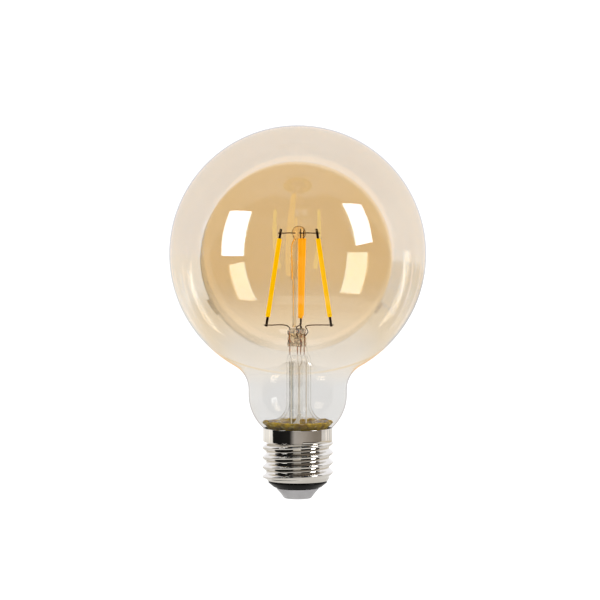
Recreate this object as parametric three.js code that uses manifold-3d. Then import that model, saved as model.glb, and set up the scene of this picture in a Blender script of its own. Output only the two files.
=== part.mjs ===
// A filament globe lamp, size G95, with an E27 screw cap and its radio driver inside the cap.
// Millimetres, +Z up. The origin is the middle of the end contact's flat face, and +Z runs along the
// lamp's axis to the top of the globe.

import * as THREE from "three";
import { mergeVertices } from "three/addons/utils/BufferGeometryUtils.js";
import Module from "manifold-3d";

const wasm = await Module();
wasm.setup();

const { degToRad, radToDeg, lerp, smoothstep } = THREE.MathUtils;

// ---------------------------------------------------------------- driving dimensions

const FIT_GAP = 0.3; // between pieces that are bonded or seated in the real lamp
const WIRE_GAP = 0.12; // between a wire and the face it lies on

// Glass globe and neck
const LAMP_LENGTH = 138;
const GLOBE_RADIUS = 47.5;
const GLASS_WALL = 0.9;
const NECK_RADIUS = 18.2;
const NECK_FILLET = 10;
const SHOULDER_Z = 38.6; // where the neck starts to round in
const SHOULDER_RADIUS = 17;
const SHOULDER_END_RADIUS = 12.9; // the neck's radius where it meets the cap
const SKIRT_RADIUS = 12.1; // the end of the neck, inside the cap's collar
const SKIRT_TOP = 26;
const SKIRT_BOTTOM = 22.4;

// E27 screw shell
const THREAD_PITCH = 3.629;
const THREAD_RADIUS = 13.05;
const THREAD_ROOT_RADIUS = 11.6;
const THREAD_CREST_Z = 2.5; // a crest's height at +X, less whole turns
const THREAD_START_Z = 8; // the thread is at its full depth from here up
const SHELL_WALL = 0.35;
const SHELL_BOTTOM = 6.6;
const SHELL_END_RADIUS = 11.2;
const SHELL_TOP = 25.9;
const COLLAR_BOTTOM = 21.2;
const COLLAR_RADIUS = 12.8;
const COLLAR_STEP = 0.4; // height of the step between thread and collar

// End contact and insulator
const CONTACT_FACE_RADIUS = 4.6;
const CONTACT_EDGE = 0.7; // the rounding round the flat face
const CONTACT_RADIUS = 7.9;
const CONTACT_LIP = 0.2;
const CONTACT_TOP = 3.9;
const RIVET_RADIUS = 1.2;
const RIVET_HEAD_RADIUS = 2;
const RIVET_HEAD_HEIGHT = 0.45;
const INSULATOR_FOOT_RADIUS = 9;
const INSULATOR_FLOOR = 6.4;
const INSULATOR_RIM = 7.4;
const INSULATOR_EDGE = 0.3; // height of the cylinder above the insulator's cone

// Stem: flare, tube and press, set a little off the lamp's axis as blown stems are
const STEM_OFFSET_X = 0.4;
const STEM_RADIUS = 4.5;
const STEM_WALL = 0.9;
const FLARE_RIM_RADIUS = 10.8;
const FLARE_RIM_Z = 28.8; // top of the rim
const STEM_SHOULDER_Z = 51.8;
const STEM_CAVITY_TOP = 52.9;
const PRESS_BASE_RADIUS = 3.3; // the tube's radius where it runs into the press
const PRESS_WIDTH = 6.6;
const PRESS_DEPTH = 2.6;
const PRESS_CORNER = 1;
const PRESS_OFFSET_X = -0.7; // from the stem's axis
const PRESS_BOTTOM = 55;
const PRESS_OVERLAP = 2.4; // height over which tube and press run into each other
const PRESS_TOP = 63;
const LEAD_HOLE_RADIUS = 0.35;

// Exhaust tube
const EXHAUST_RADIUS = 1.5;
const EXHAUST_BORE_RADIUS = 0.9;
const EXHAUST_TIP = 21.8;
const EXHAUST_TOP = 49.5;

// Support rod and its button
const ROD_OFFSET_X = -1.7; // from the stem's axis
const ROD_RADIUS = 0.75;
const ROD_UPPER_RADIUS = 1.35;
const ROD_STEP_Z = 81;
const BUTTON_RADIUS = 2.6;
const BUTTON_Z = 98.3;

// Filaments
const COAT_WIDTH = 1.7;
const COAT_CORNER = 0.55;
const COAT_TOP_Z = 96.2;
const COAT_TOP_RADIUS = 7.1; // from the stem's axis
const COAT_BOTTOM_Z = 67.2;
const COAT_BOTTOM_RADIUS = 11.5;
const STRIP_WIDTH = 0.9;
const STRIP_THICKNESS = 0.3;
const TAB_REACH = 3.6; // how far a tab stands out of the coat
const TAB_HELD = 0.6; // how much of it the coat holds
const EYELET_RADIUS = 0.2;
const EYELET_INSET = 0.7;

// Wires
const WIRE_RADIUS = 0.2;
const UPPER_WIRE_Z = 98.2;
const LOWER_WIRE_Z = 64.2;
const WIRE_OVERHANG = 1; // how far a wire runs past the tab it is welded to
const WIRE_STRAIGHT = 1.5; // how far a wire runs straight in from the tab
const WIRE_INNER_RADIUS = 1.2; // where an upper wire ends inside the button
const LEAD_BEND_RADIUS = 5.3; // from the stem's axis, where an inner lead turns down to the press
const DUMET_TOP = 61.9;
const DUMET_BOTTOM = 53.2;
const SLEEVE_RADIUS = 0.6;
const SLEEVE_BORE_RADIUS = 0.4;

// Cement
const CEMENT_BORE_RADIUS = 7.5;
const CEMENT_GAP = 0.55; // under the flare
const CEMENT_GLASS_GAP = 0.4; // inside the neck and its skirt
const CEMENT_TOP = 28.5;
const CEMENT_TOP_RADIUS = 12.2;
const CEMENT_RIM_GAP = 0.8; // round the flare's rim
const CEMENT_FOOT_TOP = 22.05;
const CEMENT_FOOT_BOTTOM = 21.5;

// Driver in the cap
const BOARD = { width: 18, depth: 1, height: 11.4, z: 14.7 };
const RADIO_BOARD = { width: 13, depth: 0.8, height: 10, y: -4.5, z: 15 };
const SHIELD = { width: 8.5, depth: 1.8, height: 6, wall: 0.25, z: 13.9 };
const ANTENNA = { pitch: 1.2, turns: 4, height: 1.6, track: 0.35, depth: 0.15, z: 17.9 };
const HEADER = { width: 10, height: 1.5, z: 11.2 };
const SEAT_GAP = 0.15; // between a board and a component on it
const TRACK_GAP = 0.1; // between the radio board and what is soldered flat on it

// Facets
const GLASS_SEGMENTS = 36;
const SHELL_SEGMENTS = 32;
const SHELL_ROWS = 28;
const STEM_SEGMENTS = 24;
const ROD_SEGMENTS = 16;
const SMALL_SEGMENTS = 12;
const WIRE_SIDES = 6;

// ---------------------------------------------------------------- finishes

const FINISHES = {
  goldGlass: { color: 0xe6c68c, roughness: 0.03, metalness: 0, opacity: 0.35 },
  clearGlass: { color: 0xeef1ee, roughness: 0.04, metalness: 0, opacity: 0.35 },
  yellowPhosphor: { color: 0xf4c010, roughness: 0.55, metalness: 0 },
  orangePhosphor: { color: 0xf99b1c, roughness: 0.55, metalness: 0 },
  stripCeramic: { color: 0xe9e6dc, roughness: 0.5, metalness: 0 },
  darkTab: { color: 0x40372b, roughness: 0.45, metalness: 0.8 },
  nickelWire: { color: 0x6e665a, roughness: 0.4, metalness: 0.9 },
  dumet: { color: 0xa8482a, roughness: 0.35, metalness: 0.9 },
  copper: { color: 0xb8704a, roughness: 0.4, metalness: 0.9 },
  sleeve: { color: 0xe8eae4, roughness: 0.5, metalness: 0 },
  cement: { color: 0x94841c, roughness: 0.3, metalness: 0 },
  nickelShell: { color: 0xd9d5cd, roughness: 0.12, metalness: 1 },
  contact: { color: 0xb2b2b4, roughness: 0.45, metalness: 0.7 },
  blackInsulator: { color: 0x0b0b0c, roughness: 0.1, metalness: 0 },
  boardGreen: { color: 0x1d5c3a, roughness: 0.5, metalness: 0 },
  boardBlue: { color: 0x1c3f6e, roughness: 0.5, metalness: 0 },
  tinPlate: { color: 0xb9bbbd, roughness: 0.3, metalness: 1 },
  blackMoulding: { color: 0x1b1b1d, roughness: 0.6, metalness: 0 },
  capSleeve: { color: 0x2a2f45, roughness: 0.35, metalness: 0 },
  ferrite: { color: 0x3a3836, roughness: 0.7, metalness: 0.1 },
  resistorBody: { color: 0x6d9a68, roughness: 0.5, metalness: 0 },
  varistorBody: { color: 0x2458a0, roughness: 0.4, metalness: 0 },
  wireRed: { color: 0xb02a22, roughness: 0.5, metalness: 0 },
  solder: { color: 0xa9acae, roughness: 0.25, metalness: 1 },
};

function materialFor(finish) {
  const { color, roughness, metalness, opacity = 1 } = FINISHES[finish];
  const transparent = opacity < 1;
  return new THREE.MeshStandardMaterial({ color, roughness, metalness, opacity, transparent });
}

// ---------------------------------------------------------------- shared shapes

// A named piece of the lamp in its parent group.
function addPiece(parent, name, geometry, finish, [x, y, z] = [0, 0, 0]) {
  const mesh = new THREE.Mesh(geometry, materialFor(finish));
  mesh.name = name;
  mesh.position.set(x, y, z);
  parent.add(mesh);
  return mesh;
}

// A point of a turned profile: distance from the axis and height.
function at(radius, z) {
  return new THREE.Vector2(radius, z);
}

function arc(centreRadius, centreZ, radius, fromDegrees, toDegrees, steps) {
  return Array.from({ length: steps + 1 }, (_, i) => {
    const angle = degToRad(lerp(fromDegrees, toDegrees, i / steps));
    return at(centreRadius + radius * Math.cos(angle), centreZ + radius * Math.sin(angle));
  });
}

// A body turned about Z. The profile runs upwards along the body's outer side.
function turned(profile, segments) {
  return new THREE.LatheGeometry(profile, segments).rotateX(Math.PI / 2);
}

// The same for a ring, whose profile closes on itself.
function turnedRing(profile, segments) {
  return turned([...profile, profile[0].clone()], segments);
}

function disc(radius, sides) {
  const corners = Array.from({ length: sides }, (_, i) => {
    const angle = (2 * Math.PI * i) / sides;
    return new THREE.Vector2(radius * Math.cos(angle), radius * Math.sin(angle));
  });
  return new THREE.Shape(corners);
}

function rectangle(width, height) {
  return new THREE.Shape([
    new THREE.Vector2(-width / 2, -height / 2),
    new THREE.Vector2(width / 2, -height / 2),
    new THREE.Vector2(width / 2, height / 2),
    new THREE.Vector2(-width / 2, height / 2),
  ]);
}

function roundedRectangle(width, height, corner, cornerSteps) {
  const inX = width / 2 - corner;
  const inY = height / 2 - corner;
  const corners = [
    arc(inX, inY, corner, 0, 90, cornerSteps),
    arc(-inX, inY, corner, 90, 180, cornerSteps),
    arc(-inX, -inY, corner, 180, 270, cornerSteps),
    arc(inX, -inY, corner, 270, 360, cornerSteps),
  ];
  return new THREE.Shape(corners.flat());
}

// An outline in the XY plane, made solid along Z and centred on it.
function extruded(outline, height) {
  const geometry = new THREE.ExtrudeGeometry(outline, { depth: height, bevelEnabled: false });
  return geometry.translate(0, 0, -height / 2);
}

function wire(curve, steps, section = disc(WIRE_RADIUS, WIRE_SIDES)) {
  return new THREE.ExtrudeGeometry(section, { steps, extrudePath: curve, bevelEnabled: false });
}

function curveThrough(places) {
  const points = places.map(([x, y, z]) => new THREE.Vector3(x, y, z));
  return new THREE.CatmullRomCurve3(points, false, "centripetal");
}

// The stretch of a curve between two fractions of its length.
class Stretch extends THREE.Curve {
  constructor(whole, from, to) {
    super();
    this.whole = whole;
    this.from = from;
    this.to = to;
  }

  getPoint(t, target) {
    return this.whole.getPointAt(lerp(this.from, this.to, t), target);
  }
}

function solidOf(geometry) {
  const bare = geometry.index ? geometry.toNonIndexed() : geometry.clone();
  bare.deleteAttribute("normal");
  bare.deleteAttribute("uv");
  const merged = mergeVertices(bare, 1e-4);
  return new wasm.Manifold(
    new wasm.Mesh({
      numProp: 3,
      vertProperties: merged.attributes.position.array,
      triVerts: new Uint32Array(merged.index.array),
    }),
  );
}

function geometryOf(solid) {
  const mesh = solid.getMesh();
  const geometry = new THREE.BufferGeometry();
  geometry.setAttribute("position", new THREE.BufferAttribute(mesh.vertProperties, 3));
  geometry.setIndex(new THREE.BufferAttribute(mesh.triVerts, 1));
  geometry.computeVertexNormals();
  return geometry;
}

function joined(geometries) {
  return geometryOf(geometries.map(solidOf).reduce((whole, next) => whole.add(next)));
}

function cutFrom(geometry, cutters) {
  const left = cutters.map(solidOf).reduce((whole, cutter) => whole.subtract(cutter), solidOf(geometry));
  return geometryOf(left);
}

// ---------------------------------------------------------------- glass globe

// The glass in section from the top of the globe down to the skirt, set in from its outside.
function glassLine(inset) {
  const globeZ = LAMP_LENGTH - GLOBE_RADIUS;
  const filletCentre = NECK_RADIUS + NECK_FILLET;
  const filletZ = globeZ - Math.sqrt((GLOBE_RADIUS + NECK_FILLET) ** 2 - filletCentre ** 2);
  const leaves = radToDeg(Math.atan2(filletZ - globeZ, filletCentre));
  const shoulderCentre = NECK_RADIUS - SHOULDER_RADIUS;
  const shoulderEnds = -radToDeg(Math.acos((SHOULDER_END_RADIUS - shoulderCentre) / SHOULDER_RADIUS));
  return [
    ...arc(0, globeZ, GLOBE_RADIUS - inset, 90, 0, 8),
    ...arc(0, globeZ, GLOBE_RADIUS - inset, 0, leaves, 6).slice(1),
    ...arc(filletCentre, filletZ, NECK_FILLET + inset, leaves + 180, 180, 3).slice(1),
    ...arc(shoulderCentre, SHOULDER_Z, SHOULDER_RADIUS - inset, 0, shoulderEnds, 4),
    at(SKIRT_RADIUS - inset, SKIRT_TOP),
    at(SKIRT_RADIUS - inset, SKIRT_BOTTOM),
  ];
}

// The neck's radius at one height of the shoulder.
function neckRadius(z, inset) {
  return NECK_RADIUS - SHOULDER_RADIUS + Math.sqrt((SHOULDER_RADIUS - inset) ** 2 - (SHOULDER_Z - z) ** 2);
}

function glassGlobe() {
  return turned([...glassLine(GLASS_WALL), ...glassLine(0).reverse()], GLASS_SEGMENTS);
}

// ---------------------------------------------------------------- cap

// The screw shell's outer radius: a right-hand rounded thread that runs out into the end cone below
// and steps out to the plain collar above.
function shellRadius(angle, z) {
  const phase = 2 * Math.PI * ((z - THREAD_CREST_Z) / THREAD_PITCH) - angle;
  const meanRadius = (THREAD_RADIUS + THREAD_ROOT_RADIUS) / 2;
  const halfDepth = (THREAD_RADIUS - THREAD_ROOT_RADIUS) / 2;
  const depthShare = smoothstep(z, SHELL_BOTTOM, THREAD_START_Z);
  const wave = depthShare * halfDepth * Math.cos(phase);
  const threaded = lerp(SHELL_END_RADIUS, meanRadius, depthShare) + wave;
  return lerp(threaded, COLLAR_RADIUS, smoothstep(z, COLLAR_BOTTOM - COLLAR_STEP, COLLAR_BOTTOM));
}

// A turned ring whose points are then moved in or out to the thread.
function screwShell() {
  const threadTop = COLLAR_BOTTOM - COLLAR_STEP;
  const heights = Array.from({ length: SHELL_ROWS + 1 }, (_, i) =>
    lerp(SHELL_BOTTOM, threadTop, i / SHELL_ROWS),
  );
  heights.push(COLLAR_BOTTOM, SHELL_TOP);
  const outside = heights.map((z) => at(THREAD_RADIUS, z));
  const inside = heights.map((z) => at(THREAD_RADIUS - SHELL_WALL, z)).reverse();
  const geometry = turnedRing([...outside, ...inside], SHELL_SEGMENTS);
  const position = geometry.attributes.position;
  for (let i = 0; i < position.count; i += 1) {
    const angle = Math.atan2(position.getY(i), position.getX(i));
    const z = position.getZ(i);
    const radius = Math.hypot(position.getX(i), position.getY(i));
    const scale = (radius - THREAD_RADIUS + shellRadius(angle, z)) / radius;
    position.setXY(i, position.getX(i) * scale, position.getY(i) * scale);
  }
  geometry.computeVertexNormals();
  return geometry;
}

// A plug in the shell's end, with a cone under it that carries the contact.
function insulator() {
  const bore = RIVET_RADIUS + FIT_GAP;
  const underside = CONTACT_TOP + FIT_GAP;
  const flangeTop = SHELL_BOTTOM - FIT_GAP;
  const flangeRadius = SHELL_END_RADIUS - FIT_GAP;
  const plugRadius = SHELL_END_RADIUS - SHELL_WALL - FIT_GAP;
  const rimWall = 1.2;
  const rimFoot = 1.8;
  return turnedRing(
    [
      at(bore, underside),
      at(INSULATOR_FOOT_RADIUS, underside),
      at(flangeRadius, flangeTop - INSULATOR_EDGE),
      at(flangeRadius, flangeTop),
      at(plugRadius, flangeTop),
      at(plugRadius, INSULATOR_RIM),
      at(plugRadius - rimWall, INSULATOR_RIM),
      at(plugRadius - rimFoot, INSULATOR_FLOOR),
      at(bore, INSULATOR_FLOOR),
    ],
    STEM_SEGMENTS,
  );
}

// A cone with a flat end face, held by a rivet through the insulator.
function endContact() {
  const headBottom = INSULATOR_FLOOR + FIT_GAP;
  return turned(
    [
      at(0, 0),
      ...arc(CONTACT_FACE_RADIUS, CONTACT_EDGE, CONTACT_EDGE, -90, -20, 3),
      at(CONTACT_RADIUS, CONTACT_TOP - CONTACT_LIP),
      at(CONTACT_RADIUS - CONTACT_LIP, CONTACT_TOP),
      at(RIVET_RADIUS, CONTACT_TOP),
      at(RIVET_RADIUS, headBottom),
      at(RIVET_HEAD_RADIUS, headBottom),
      at(RIVET_HEAD_RADIUS, headBottom + RIVET_HEAD_HEIGHT / 2),
      at(RIVET_HEAD_RADIUS / 2, headBottom + RIVET_HEAD_HEIGHT),
      at(0, headBottom + RIVET_HEAD_HEIGHT),
    ],
    STEM_SEGMENTS,
  );
}

// The ring that bonds the neck to the collar. Its wall rises inside the neck, its top dips to follow
// the flare, and its foot spreads under the glass skirt.
function baseCement() {
  const inset = GLASS_WALL + CEMENT_GLASS_GAP;
  const outer = SKIRT_RADIUS - inset;
  const wallSteps = [27, 27.6, 28.2];
  const alongNeck = wallSteps.map((z) => at(neckRadius(z, inset), z));
  const rimRadius = FLARE_RIM_RADIUS + CEMENT_RIM_GAP;
  const flareCentreZ = FLARE_RIM_Z + FLARE_RIM_RADIUS - STEM_RADIUS;
  const underFlare = FLARE_RIM_RADIUS - STEM_RADIUS + STEM_WALL + CEMENT_GAP;
  const inner = radToDeg(Math.acos((CEMENT_BORE_RADIUS - FLARE_RIM_RADIUS) / underFlare));
  const footRadius = COLLAR_RADIUS - SHELL_WALL - FIT_GAP;
  return turnedRing(
    [
      at(CEMENT_BORE_RADIUS, CEMENT_FOOT_BOTTOM),
      at(footRadius, CEMENT_FOOT_BOTTOM),
      at(footRadius, CEMENT_FOOT_TOP),
      at(outer, CEMENT_FOOT_TOP),
      at(outer, SKIRT_TOP),
      ...alongNeck,
      at(CEMENT_TOP_RADIUS, CEMENT_TOP),
      at(rimRadius, FLARE_RIM_Z - STEM_WALL / 2),
      at(rimRadius, flareCentreZ - underFlare),
      ...arc(FLARE_RIM_RADIUS, flareCentreZ, underFlare, -92, -inner, 4),
    ],
    STEM_SEGMENTS,
  );
}

// ---------------------------------------------------------------- stem

// Where the leads pass through the press, from left to right.
const LEAD_HOLES = { left: -3.3, front: -0.5, back: 0.7, right: 2 };

// A flare and a tube of one wall, with the flattened press on top and a hole in it for each lead.
function stem() {
  const flareRadius = FLARE_RIM_RADIUS - STEM_RADIUS;
  const flareCentreZ = FLARE_RIM_Z + flareRadius;
  const bore = STEM_RADIUS - STEM_WALL;
  const boreCorner = 0.5;
  const tubeTop = PRESS_BOTTOM + PRESS_OVERLAP;
  const tube = turned(
    [
      at(0, STEM_CAVITY_TOP),
      at(bore - boreCorner, STEM_CAVITY_TOP),
      at(bore, STEM_SHOULDER_Z - boreCorner),
      ...arc(FLARE_RIM_RADIUS, flareCentreZ, flareRadius + STEM_WALL, 180, 270, 6),
      ...arc(FLARE_RIM_RADIUS, flareCentreZ, flareRadius, 270, 180, 6),
      at(STEM_RADIUS, STEM_SHOULDER_Z),
      at(PRESS_BASE_RADIUS, tubeTop),
      at(0, tubeTop),
    ],
    STEM_SEGMENTS,
  );
  const pressHeight = PRESS_TOP - PRESS_BOTTOM;
  const press = extruded(roundedRectangle(PRESS_WIDTH, PRESS_DEPTH, PRESS_CORNER, 2), pressHeight);
  press.translate(PRESS_OFFSET_X, 0, PRESS_BOTTOM + pressHeight / 2);
  const holeMiddle = (PRESS_TOP + STEM_CAVITY_TOP) / 2;
  const holeLength = PRESS_TOP - STEM_CAVITY_TOP + 2;
  const holes = Object.values(LEAD_HOLES).map((x) =>
    extruded(disc(LEAD_HOLE_RADIUS, WIRE_SIDES), holeLength).translate(x, 0, holeMiddle),
  );
  return cutFrom(joined([tube, press]), holes);
}

// Open where it meets the press, and sealed off in a tip at its lower end.
function exhaustTube() {
  const tipLength = 2.2;
  const boreTip = EXHAUST_TIP + tipLength;
  return turned(
    [
      at(0, EXHAUST_TIP),
      at(EXHAUST_RADIUS / 2, EXHAUST_TIP + tipLength / 4),
      at(EXHAUST_RADIUS, EXHAUST_TIP + tipLength),
      at(EXHAUST_RADIUS, EXHAUST_TOP),
      at(EXHAUST_BORE_RADIUS, EXHAUST_TOP),
      at(EXHAUST_BORE_RADIUS, boreTip + EXHAUST_BORE_RADIUS),
      at(0, boreTip),
    ],
    SMALL_SEGMENTS,
  );
}

// A glass rod beside the stem's axis, thicker above, with a melted button on top that holds the upper
// wires.
function supportRod(wireDirections) {
  const foot = PRESS_TOP + FIT_GAP;
  const step = ROD_UPPER_RADIUS - ROD_RADIUS;
  const rod = turned(
    [
      at(0, foot),
      at(ROD_RADIUS, foot),
      ...arc(ROD_RADIUS, ROD_STEP_Z + step, step, 270, 360, 3),
      at(ROD_UPPER_RADIUS, BUTTON_Z),
      at(0, BUTTON_Z),
    ],
    ROD_SEGMENTS,
  ).translate(ROD_OFFSET_X, 0, 0);
  const button = turned(arc(0, BUTTON_Z, BUTTON_RADIUS, -90, 90, 10), ROD_SEGMENTS);
  const holeRadius = WIRE_RADIUS + WIRE_GAP;
  const inner = WIRE_INNER_RADIUS - FIT_GAP;
  const holes = wireDirections.map((direction) => {
    const from = direction.clone().multiplyScalar(inner).setZ(UPPER_WIRE_Z);
    const to = direction.clone().multiplyScalar(BUTTON_RADIUS + 1).setZ(UPPER_WIRE_Z);
    return wire(new THREE.LineCurve3(from, to), 1, disc(holeRadius, WIRE_SIDES));
  });
  return cutFrom(joined([rod, button]), holes);
}

// ---------------------------------------------------------------- filaments

// Each filament leans from its lower lead in to the button. The angles are about the stem's axis.
const FILAMENTS = [
  { side: "left", upperAngle: 180, lowerAngle: 180, finish: "yellowPhosphor" },
  { side: "right", upperAngle: 0, lowerAngle: 0, finish: "yellowPhosphor" },
  { side: "front", upperAngle: -85, lowerAngle: -87, finish: "orangePhosphor" },
  { side: "back", upperAngle: 75, lowerAngle: 85, finish: "orangePhosphor" },
];

function polar(radius, degrees, z) {
  return new THREE.Vector3(radius * Math.cos(degToRad(degrees)), radius * Math.sin(degToRad(degrees)), z);
}

// A filament's centre line: its middle, its length and its own axes (X away from the stem, Z along it).
function filamentLine({ upperAngle, lowerAngle }) {
  const top = polar(COAT_TOP_RADIUS, upperAngle, COAT_TOP_Z);
  const bottom = polar(COAT_BOTTOM_RADIUS, lowerAngle, COAT_BOTTOM_Z);
  const middle = top.clone().add(bottom).divideScalar(2);
  const along = top.clone().sub(bottom).normalize();
  const outward = new THREE.Vector3(middle.x, middle.y, 0).projectOnPlane(along).normalize();
  const across = new THREE.Vector3().crossVectors(along, outward);
  return { middle, along, outward, across, length: top.distanceTo(bottom) };
}

// The point at one height on a filament's centre line.
function pointAtHeight({ middle, along }, z) {
  return middle.clone().addScaledVector(along, (z - middle.z) / along.z);
}

function coat(length) {
  const outline = roundedRectangle(COAT_WIDTH, COAT_WIDTH, COAT_CORNER, 2);
  outline.holes.push(rectangle(STRIP_WIDTH + 2 * WIRE_GAP, STRIP_THICKNESS + 2 * WIRE_GAP));
  return extruded(outline, length);
}

// A metal strip with an eyelet near its free end, which points along Z.
function tab() {
  const length = TAB_REACH + TAB_HELD;
  const outline = rectangle(STRIP_WIDTH, length);
  const eyelet = disc(EYELET_RADIUS, WIRE_SIDES).getPoints();
  eyelet.forEach((point) => point.setY(point.y + length / 2 - EYELET_INSET));
  outline.holes.push(new THREE.Path(eyelet));
  return extruded(outline, STRIP_THICKNESS).rotateX(Math.PI / 2);
}

function addFilament(parent, filament) {
  const line = filamentLine(filament);
  const axes = new THREE.Matrix4().makeBasis(line.outward, line.across, line.along);
  const group = new THREE.Group();
  group.position.copy(line.middle);
  group.quaternion.setFromRotationMatrix(axes);
  parent.add(group);

  const name = `filament_${filament.side}`;
  const tabCentre = line.length / 2 + (TAB_REACH - TAB_HELD) / 2;
  const stripLength = line.length - 2 * (TAB_HELD + FIT_GAP);
  const strip = new THREE.BoxGeometry(STRIP_WIDTH, STRIP_THICKNESS, stripLength);
  addPiece(group, `${name}_coat`, coat(line.length), filament.finish);
  addPiece(group, `${name}_strip`, strip, "stripCeramic");
  addPiece(group, `${name}_upper_tab`, tab(), "darkTab", [0, 0, tabCentre]);
  addPiece(group, `${name}_lower_tab`, tab(), "darkTab", [0, 0, -tabCentre]).rotation.x = Math.PI;
  return line;
}

// ---------------------------------------------------------------- wires

// Where a radial wire at one height crosses a filament's tab: the crossing on the tab's face, and the
// unit vector away from the stem.
function crossing(line, z) {
  const centre = pointAtHeight(line, z);
  const outward = new THREE.Vector3(centre.x, centre.y, 0).normalize();
  const beside = STRIP_THICKNESS / 2 + WIRE_RADIUS + WIRE_GAP;
  return { outward, point: centre.addScaledVector(line.across, beside) };
}

// From inside the button out past the upper tab.
function upperWire(line) {
  const { outward, point } = crossing(line, UPPER_WIRE_Z);
  const radial = (radius) => outward.clone().multiplyScalar(radius).setZ(UPPER_WIRE_Z);
  const path = new THREE.CatmullRomCurve3([
    radial(WIRE_INNER_RADIUS),
    radial(BUTTON_RADIUS + WIRE_STRAIGHT / 2),
    point.clone().addScaledVector(outward, -WIRE_STRAIGHT),
    point.clone().addScaledVector(outward, WIRE_OVERHANG),
  ]);
  return wire(path, 7);
}

// From outside the lower tab in towards the stem, then down into the press.
function innerLead(line, holeX) {
  const { outward, point } = crossing(line, LOWER_WIRE_Z);
  const overPress = new THREE.Vector3(holeX, 0, lerp(PRESS_TOP, LOWER_WIRE_Z, 0.7));
  const path = new THREE.CatmullRomCurve3([
    point.clone().addScaledVector(outward, WIRE_OVERHANG),
    point.clone().addScaledVector(outward, -WIRE_STRAIGHT),
    outward.clone().multiplyScalar(LEAD_BEND_RADIUS).setZ(LOWER_WIRE_Z),
    overPress.addScaledVector(outward, 0.6),
    new THREE.Vector3(holeX, 0, PRESS_TOP - WIRE_GAP),
    new THREE.Vector3(holeX, 0, DUMET_TOP + FIT_GAP),
  ]);
  return wire(path, 13);
}

function dumetSection(holeX) {
  const top = new THREE.Vector3(holeX, 0, DUMET_TOP);
  return wire(new THREE.LineCurve3(top, new THREE.Vector3(holeX, 0, DUMET_BOTTOM)), 1);
}

// The outer leads run down the stem's tube, round the exhaust tube, to the top of the driver board.
const LEAD_TOP = DUMET_BOTTOM - FIT_GAP;
const LEAD_END = 19.4;
const OUTER_LEADS = {
  left: curveThrough([
    [LEAD_HOLES.left, 0, LEAD_TOP],
    [-2.75, 0, 51.4],
    [-2.75, 0, 49.5],
    [-2.75, 0, 27],
    [-2.75, 0, 25.4],
    [-3.8, -0.6, 22.8],
    [-4.5, -0.9, 21],
    [-4.5, -0.9, LEAD_END],
  ]),
  front: curveThrough([
    [LEAD_HOLES.front, 0, LEAD_TOP],
    [-0.3, -1.9, 50.8],
    [0.3, -2.7, 47.5],
    [0.3, -2.75, 45],
    [0.3, -2.75, 33.5],
    [0.3, -2.75, 31.2],
    [-0.5, -2.85, 28.8],
    [-2.2, -2.7, 26.8],
    [-3, -2.2, 25],
    [-2.2, -1.3, 22.6],
    [-1.5, -0.9, 21],
    [-1.5, -0.9, LEAD_END],
  ]),
  back: curveThrough([
    [LEAD_HOLES.back, 0, LEAD_TOP],
    [1.2, 1.9, 50.8],
    [0, 2.7, 47.5],
    [0, 2.75, 45],
    [0, 2.75, 28],
    [0.6, 2.2, 25],
    [1.2, 1.3, 22.4],
    [1.5, 0.9, 21],
    [1.5, 0.9, LEAD_END],
  ]),
  right: curveThrough([
    [LEAD_HOLES.right, 0, LEAD_TOP],
    [2.75, 0, 51.4],
    [2.75, 0, 49.5],
    [2.75, 0, 27],
    [2.75, 0, 25.4],
    [3.8, -0.6, 22.8],
    [4.5, -0.9, 21],
    [4.5, -0.9, LEAD_END],
  ]),
};
const OUTER_LEAD_STEPS = 20;

// The shares of a lead's length that its sleeve covers.
const SLEEVES = {
  left: { from: 0.08, to: 0.78, steps: 8 },
  front: { from: 0.62, to: 0.84, steps: 8 },
};

function sleeve(curve, { from, to, steps }) {
  const section = disc(SLEEVE_RADIUS, WIRE_SIDES + 2);
  section.holes.push(new THREE.Path(disc(SLEEVE_BORE_RADIUS, WIRE_SIDES + 2).getPoints()));
  return wire(new Stretch(curve, from, to), steps, section);
}

// ---------------------------------------------------------------- driver

// A moulded package on the front of a board, with legs above and below it.
function chip({ width, height, thickness, upperLegs, lowerLegs }) {
  const legWidth = 0.4;
  const legThickness = 0.25;
  const legLength = 1;
  const legHeld = 0.2;
  const legBehind = 0.1;
  const legY = (thickness - legThickness) / 2 - legBehind;
  const legZ = (height + legLength) / 2 - legHeld;
  const legsOf = (count, side) =>
    Array.from({ length: count }, (_, i) => {
      const x = width * ((i + 0.5) / count - 0.5);
      return new THREE.BoxGeometry(legWidth, legThickness, legLength).translate(x, legY, side * legZ);
    });
  return joined([
    new THREE.BoxGeometry(width, thickness, height),
    ...legsOf(upperLegs, 1),
    ...legsOf(lowerLegs, -1),
  ]);
}

// A can with its vent groove near one end, lying along X.
function electrolyticCapacitor(radius, length) {
  const end = length / 2;
  const edge = 0.3;
  const groove = 1.2;
  return turned(
    [
      at(0, -end),
      at(radius - edge, -end),
      at(radius, edge - end),
      at(radius, end - groove - edge),
      at(radius - edge, end - groove),
      at(radius, end - groove + edge),
      at(radius, end - edge),
      at(radius - edge, end),
      at(0, end),
    ],
    SMALL_SEGMENTS,
  ).rotateY(Math.PI / 2);
}

// A drum core, its axis along Y.
function inductor(radius, length) {
  const end = length / 2;
  const flange = 0.8;
  const core = 0.75 * radius;
  return turned(
    [
      at(0, -end),
      at(radius, -end),
      at(radius, flange - end),
      at(core, flange - end),
      at(core, end - flange),
      at(radius, end - flange),
      at(radius, end),
      at(0, end),
    ],
    SMALL_SEGMENTS,
  ).rotateX(Math.PI / 2);
}

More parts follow.
